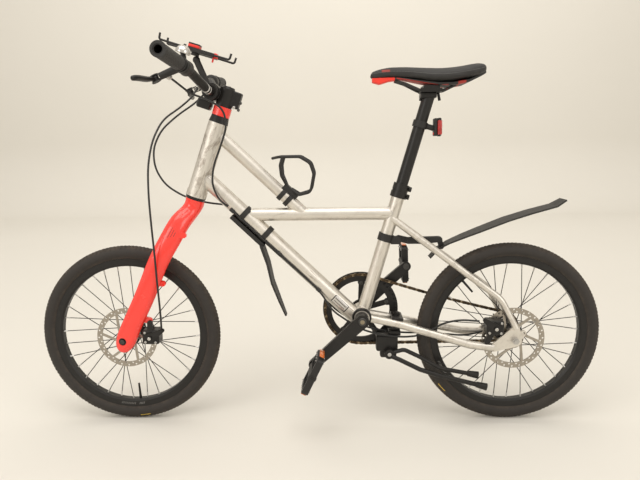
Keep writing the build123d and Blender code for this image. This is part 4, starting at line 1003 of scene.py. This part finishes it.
add("crank_bolt_face", lathe([(0, 3.0), (4.6, 3.0), (5.6, 2.6), (6.0, 1.8), (6.0, 1.0), (0, 1.0)],
                             BRACKET + Vector((0, 76, 0)), (0, 1, 0), 24), "crankset", worn_brass, ())
add("crank_bolt_right", lathe([(0, 1.0), (4.2, 1.0), (4.8, 2.2), (11.6, 2.2), (12.6, 1.2), (12.6, -1.0),
                               (0, -1.0)], BRACKET + Vector((0, -76, 0)), (0, -1, 0), 32),
    "crankset", dark_steel, ())
for side, pin, name in ((1, LEFT_PIN, "left"), (-1, RIGHT_PIN, "right")):
    add("pedal_pin_end_" + name, lathe([(0, 0.4), (3.0, 0.4), (3.4, 1.6), (8.0, 1.6), (8.6, 0.9),
                                        (8.6, -1), (0, -1)],
                                       Vector((pin.x, side * (63 if side < 0 else 63), pin.z)),
                                       (0, -side, 0), 24), "crankset", dark_steel, ())


# ---- pedals: lenses, pins and ribs
def pedal_trim(name, pin, side, tilt):
    body = name + "_pedal"
    turn = Matrix.Rotation(radians(-tilt), 3, "Y")
    middle = Vector((pin.x, side * (84 + 39), pin.z))
    lenses = []
    pins_at = []
    ribs = []
    for end in (-1, 1):
        lenses.append(soft_box((1.6, 50.5, 12.6), middle + turn @ Vector((end * 53.8, 0, 0)), turn, 0.7))
        for row in range(5):
            for face in (-1, 1):
                spot = middle + turn @ Vector((end * (44 - 1.5 * abs(row - 2)), -30 + row * 15, face * 8.2))
                pins_at.append((spot, facing(turn @ Vector((0, 0, face)))))
        for row in range(4):
            for face in (-1, 1):
                spot = middle + turn @ Vector((end * 24, -22.5 + row * 15, face * 1.5))
                ribs.append((spot, turn))
    add(body + "_lenses", joined(*lenses), body, orange, ())
    repeat(body + "_pins", lathe([(0, 3.2), (1.2, 3.2), (1.9, 2.6), (1.9, 0), (0, 0)], sides=8),
           pins_at, body, steel, ())
    repeat(body + "_ribs", soft_box((25.5, 2.6, 8.5), edge=0.8, steps=1), ribs, body,
           plastic.material, ())


pedal_trim("left", LEFT_PIN, 1, -64.0)
pedal_trim("right", RIGHT_PIN, -1, 88.0)

# ---- weld beads where tubes meet
WELD_UNIT = lathe([(0, 1.0), (1.1, 0.75), (1.75, 0), (1.1, -0.75), (0, -1.0)], sides=8)


def weld_line(foot, way, radius, other, other_way, other_radius):
    """Beads round the end of a tube where it meets a larger one."""
    way = Vector(way).normalized()
    other_way = Vector(other_way).normalized()
    first, second = frame_of(way)
    places = []
    count = int(2 * pi * radius * 1.2 / 2.1)
    for number in range(count):
        turn = 2 * pi * number / count
        edge = first * cos(turn) + second * sin(turn)
        low = 0.0
        high = 140.0
        for step in range(30):
            middle = (low + high) / 2
            spot = foot + edge * radius + way * middle
            off = spot - other
            far = (off - other_way * off.dot(other_way)).length
            if far < other_radius:
                low = middle
            else:
                high = middle
        spot = foot + edge * (radius + 0.25) + way * high
        off = spot - other
        normal = (off - other_way * off.dot(other_way)).normalized()
        lay = (edge + normal).normalized()
        places.append((spot, facing(lay, way)))
    return places


DOWN_WAY = (head(57) - (BRACKET + Vector((16, 0, -5.4)))).normalized()
UPPER_WAY = (head(173) - Vector((31, 0, 559.5))).normalized()
beads = weld_line(head(57), -DOWN_WAY, 20.7, head(0), HEAD_UP, 25.0)
beads += weld_line(head(173), -UPPER_WAY, 16.0, head(0), HEAD_UP, 25.0)
beads += weld_line(BRACKET + Vector((16, 0, -5.4)), DOWN_WAY, 20.7, BRACKET, (0, 1, 0), 23.0)
beads += weld_line(SEAT_BASE, SEAT_UP, 17.2, BRACKET, (0, 1, 0), 23.0)
beads += weld_line(seat(280.5), (1, 0, 0), 17.0, SEAT_BASE, SEAT_UP, 17.2)
beads = [(spot, turn) for spot, turn in beads if abs(spot.y) < 33]
repeat("weld_beads", WELD_UNIT, beads, "frame", weld_finish, ())


# ---- fasteners
def screws(name, spots, radius, height, body, material):
    repeat(name, bolt_head(radius, height), [(Vector(spot), facing(Vector(way))) for spot, way in spots],
           body, material, ())


Y = Vector((0, 1, 0))
screws("stem_screws", [(head(262, -37.5, side), -HEAD_OUT) for side in (-8, 8)]
       + [(head(244, -37.5, side), -HEAD_OUT) for side in (-8, 8)], 3.6, 3.0, "steering", dark_steel)
screws("stem_side_screw", [(head(246, -28, 13), Y)], 4.0, 2.4, "steering", silver)
screws("stem_cap_screw", [(head(291.5), HEAD_UP)], 4.6, 2.2, "steering", silver)
screws("front_caliper_screws", [(FRONT_PAD + Vector((x, 66, z)), Y)
                                for x, z in ((-14, 12), (13, -12), (14, 13), (-13, -13))],
       3.2, 2.2, "steering", steel)
screws("rear_caliper_screws", [(REAR_PAD + Vector((x, 80.6, z)), Y)
                               for x, z in ((-14, -13), (15, -12), (-15, 13), (13, 14))],
       3.2, 2.2, "frame", steel)
screws("front_arm_screw", [(FRONT_PAD + Vector((0, 75.0, 0)), Y)], 4.4, 2.0, "front_caliper_arm",
       silver)
screws("rear_arm_screw", [(REAR_PAD + Vector((0, 89.6, 0)), Y)], 4.4, 2.0, "rear_caliper_arm",
       silver)
screws("axle_cap_screw", [(FRONT + Vector((0, 76.3, 0)), Y)], 6.0, 1.4, "steering", dark_steel)
screws("stand_screw", [(Vector((-189, 33.6, 188.6)), Y)], 5.0, 2.6, "frame", steel)

# ---- tail light lens, phone holder's red parts, bell dome
add("tail_light_lens", soft_box((11.0, 38.6, 36), seat(515, -40) + Vector((-9.0, 0, 3)), edge=2.0),
    "seatpost", red_lens, ())
add("tail_light_button", soft_box((3.0, 10, 6), seat(515, -40) + Vector((4.2, 0, -12)), edge=1.2),
    "seatpost", red_plastic, ())
HOLD = Matrix.Rotation(radians(-17), 3, "Y")
HOLD_MID = Vector((287.164, 22, 967.497))
add("holder_red_pad", joined(soft_box((27.2, 27.2, 7), HOLD_MID + HOLD @ Vector((6, 12, 8.2)), HOLD, 1.4),
                             soft_box((9, 20, 12), HOLD_MID + HOLD @ Vector((-48, 6, 1)), HOLD, 2.0),
                             soft_box((4, 5, 15), HOLD_MID + HOLD @ Vector((-45, 14, -9)), HOLD, 1.2)),
    "phone_holder", red_plastic, ())
BELL = bar_at(177) + Vector((4, 0, 33))
BELL_WAY = Vector((sin(radians(-20)), 0, cos(radians(-20))))
dome = [(0, 17.5)]
for number in range(1, 15):
    turn = radians(90 - 90 * number / 14)
    dome.append((17.6 * cos(turn), 17.5 * sin(turn)))
dome += [(17.6, -1.2), (16.2, -1.2), (16.2, 0.4), (0, 0.4)]
add("bell_dome", lathe(dome, BELL, BELL_WAY, 40), "steering", silver, ())
add("bell_button", lathe([(0, 20.4), (2.6, 20.2), (3.4, 19.2), (3.4, 16.9), (0, 16.9)], BELL, BELL_WAY, 16),
    "steering", dark_steel, ())
barrels = []
for side in (-1, 1):
    barrel = bar_at(154) + Vector((42, -8, -18))
    way = Vector((-4, -28, -4)).normalized()
    start = Vector((barrel.x, side * barrel.y, barrel.z))
    run = Vector((way.x, side * way.y, way.z))
    for number in range(7):
        barrels.append((start + run * (6 + 3.0 * number), facing(run)))
repeat("barrel_rings", lathe([(0, 0), (6.1, 0), (6.5, 0.5), (6.5, 1.4), (6.1, 1.9), (0, 1.9)], sides=20),
       barrels, "steering", silver, ())


# ---- label plate on the down tube
def tube_patch(foot, way, radius, start, end, middle, half, thick):
    """Curved plate on a tube, between two distances and about a direction round it."""
    way = way.normalized()
    first, second = frame_of(way, Y)
    rows = []
    for step in range(9):
        along = start + (end - start) * step / 8
        row = []
        for number in range(13):
            turn = middle - half + 2 * half * number / 12
            row.append(foot + way * along + (first * cos(turn) + second * sin(turn)) * (radius + thick))
        for number in range(12, -1, -1):
            turn = middle - half + 2 * half * number / 12
            row.append(foot + way * along + (first * cos(turn) + second * sin(turn)) * (radius - 0.4))
        rows.append(row)
    return grid_mesh(rows)


PLATE_FOOT = BRACKET + Vector((16, 0, -5.4))
first, second = frame_of(DOWN_WAY, Y)
TO_SIDE = atan2(second.dot(Y), first.dot(Y))
add("plate_border", tube_patch(PLATE_FOOT, DOWN_WAY, 20.7, 32, 80, TO_SIDE, 0.52, 0.35), "frame",
    black.material, ())
add("plate_face", tube_patch(PLATE_FOOT, DOWN_WAY, 20.7, 34.5, 77.5, TO_SIDE, 0.46, 0.7), "frame",
    silver, ())
for number, offset in enumerate((-0.16, 0.16)):
    add("plate_groove_%d" % number, tube_patch(PLATE_FOOT, DOWN_WAY, 20.7, 38, 74, TO_SIDE + offset,
                                               0.035, 0.85), "frame", black.material, ())


# ---- saddle
SADDLE_ROWS = ((-139.5, 8, 900, 908), (-143, 13, 897.5, 914.5), (-151, 16.5, 897, 918),
               (-165, 19, 897.5, 922), (-189, 21, 899.5, 925.5), (-215, 25, 898.5, 925.5), (-240, 30, 896, 924),
               (-265, 37, 892, 922), (-290, 46, 887, 920), (-313, 56, 885.5, 919), (-337, 63.5, 886, 920),
               (-360, 67, 889, 922.5), (-383, 67.5, 892.5, 926.5), (-401, 62, 897.5, 929),
               (-412, 53, 902, 929), (-418, 41, 906, 927), (-421, 30, 911, 922))


def saddle_skin(shrink):
    rows = []
    for x, half, low, high in SADDLE_ROWS:
        row = []
        half = half - shrink
        for number in range(36):
            turn = 2 * pi * number / 36
            across = cos(turn)
            up = sin(turn)
            wide = half * (1 if across > 0 else -1) * abs(across) ** 0.62
            dip = 1.6 * max(0.0, 1 - abs(wide) / 16.0) * (1 if x < -190 else 0)
            middle = low + (high - low) * 0.38
            if up >= 0:
                level = middle + (high - shrink - middle) * up ** 0.72 - dip * up
            else:
                level = middle - (middle - low) * abs(up) ** 0.5
            row.append(Vector((x, wide, level)))
        rows.append(row)
    return grid_mesh(rows)


def puffed(mesh, pressure, cap):
    """The pad swollen by a cloth run, no point moving further than the cap in millimetres."""
    pad = link_object("pad", mesh)
    remesh = pad.modifiers.new("remesh", "REMESH")
    remesh.mode = "VOXEL"
    remesh.voxel_size = 0.0045
    graph = bpy.context.evaluated_depsgraph_get()
    skin = bpy.data.meshes.new_from_object(pad.evaluated_get(graph), depsgraph=graph)
    pad.modifiers.clear()
    pad.data = skin
    rest = [vert.co.copy() for vert in skin.vertices]
    cloth = pad.modifiers.new("cloth", "CLOTH")
    cloth.settings.use_pressure = True
    cloth.settings.uniform_pressure_force = pressure
    cloth.settings.effector_weights.gravity = 0
    cloth.settings.quality = 6
    pins_group = pad.vertex_groups.new(name="held")
    held = [vert.index for vert in skin.vertices if vert.co.z < 0.899 or vert.co.x < -0.4262]
    pins_group.add(held, 1.0, "REPLACE")
    cloth.settings.vertex_group_mass = "held"
    scene = bpy.context.scene
    cloth.point_cache.frame_start = 1
    cloth.point_cache.frame_end = 16
    for number in range(1, 17):
        scene.frame_set(number)
    graph = bpy.context.evaluated_depsgraph_get()
    swollen = bpy.data.meshes.new_from_object(pad.evaluated_get(graph), depsgraph=graph)
    for vert, spot in zip(swollen.vertices, rest):
        move = vert.co - spot
        if move.length > cap * MM:
            vert.co = spot + move.normalized() * cap * MM
    scene.frame_set(1)
    bpy.data.objects.remove(pad)
    return swollen


skin = saddle_skin(0.0)
skin = puffed(saddle_skin(1.2), 3.0, 1.4)
saddle = add("saddle_pad", skin, "seatpost", seat_leather(), ("saddle_cover",), 70)
smooth = saddle.modifiers.new("smooth", "SUBSURF")
smooth.levels = smooth.render_levels = 1


def saddle_edge(lift, inward):
    """Line along one side of the saddle's lower edge, from near the nose to near the tail."""
    half_line = []
    for x, half, low, high in SADDLE_ROWS[1:-2]:
        half_line.append(Vector((x, half * 0.985 - inward, low + (high - low) * 0.30 + lift)))
    return half_line


stitch_places = []
for side in (-1, 1):
    line = [Vector((p.x, side * p.y, p.z)) for p in saddle_edge(5.5, 1.2)]
    for one, two in zip(line, line[1:]):
        count = max(1, int((two - one).length / 3.4))
        for number in range(count):
            spot = one.lerp(two, (number + 0.5) / count)
            way = (two - one).normalized()
            normal = Vector((0, side, 0.35))
            normal = (normal - way * normal.dot(way)).normalized()
            stitch_places.append((spot + normal * 0.9, Matrix((way, normal.cross(way), normal)).transposed()))
repeat("saddle_stitches", soft_box((2.3, 0.7, 0.5), edge=0.2, steps=1), stitch_places, "seatpost",
       dim_print, ())


# ---- brake lever blades
for side, name in ((1, "left"), (-1, "right")):
    pin = Vector((354.573, 160.665, 888.382))
    away = Vector((0.888, 0, -0.46))
    line = [pin + away * 1 - Y * 3, pin + away * 2 + Y * 6, pin + away * 6 + Y * 20,
            pin + away * 10 + Y * 34, pin + away * 12 + Y * 52, pin + away * 14 + Y * 72,
            pin + away * 17 + Y * 90, pin + away * 20 + Y * 99, pin + away * 21 + Y * 103]
    line = [Vector((p.x, side * p.y, p.z)) for p in line]
    blade = tube_mesh(line, [4.6, 5.0, 5.6, 6.4, 6.8, 6.6, 6.2, 5.6, 2.6], 20)
    blade = joined(blade, lathe([(0, -4.2), (8.6, -4.2), (9.2, -3.4), (9.2, 3.4), (8.6, 4.2), (0, 4.2)],
                                Vector((pin.x, side * pin.y, pin.z)), Vector((0.46, 0, 0.888)), 28))
    add("lever_blade_" + name, blade, name + "_brake_lever", black.material, (name + "_brake_lever",),
        40)


# ---- guard ring outside the chainring
add("chain_guard_ring", lathe([(80.0, 0), (80.0, 2.0), (81.0, 2.4), (102.0, 2.4), (103.0, 1.6), (103.0, 0.6),
                               (102.0, 0)], BRACKET + Vector((0, -52.2, 0)), (0, -1, 0), 96),
    "crankset", black.material, ())

# ---- clamp collars
for side, name in ((1, "left"), (-1, "right")):
    line = []
    for reach in (148, 150, 156, 166, 176, 186, 191, 194):
        spot = bar_at(reach)
        line.append(Vector((spot.x, side * spot.y, spot.z)))
    add("clamp_collar_" + name, tube_mesh(line, [11.6, 15.6, 17.6, 17.0, 17.4, 18.0, 16.4, 11.6], 32),
        "steering", plastic.material, ())
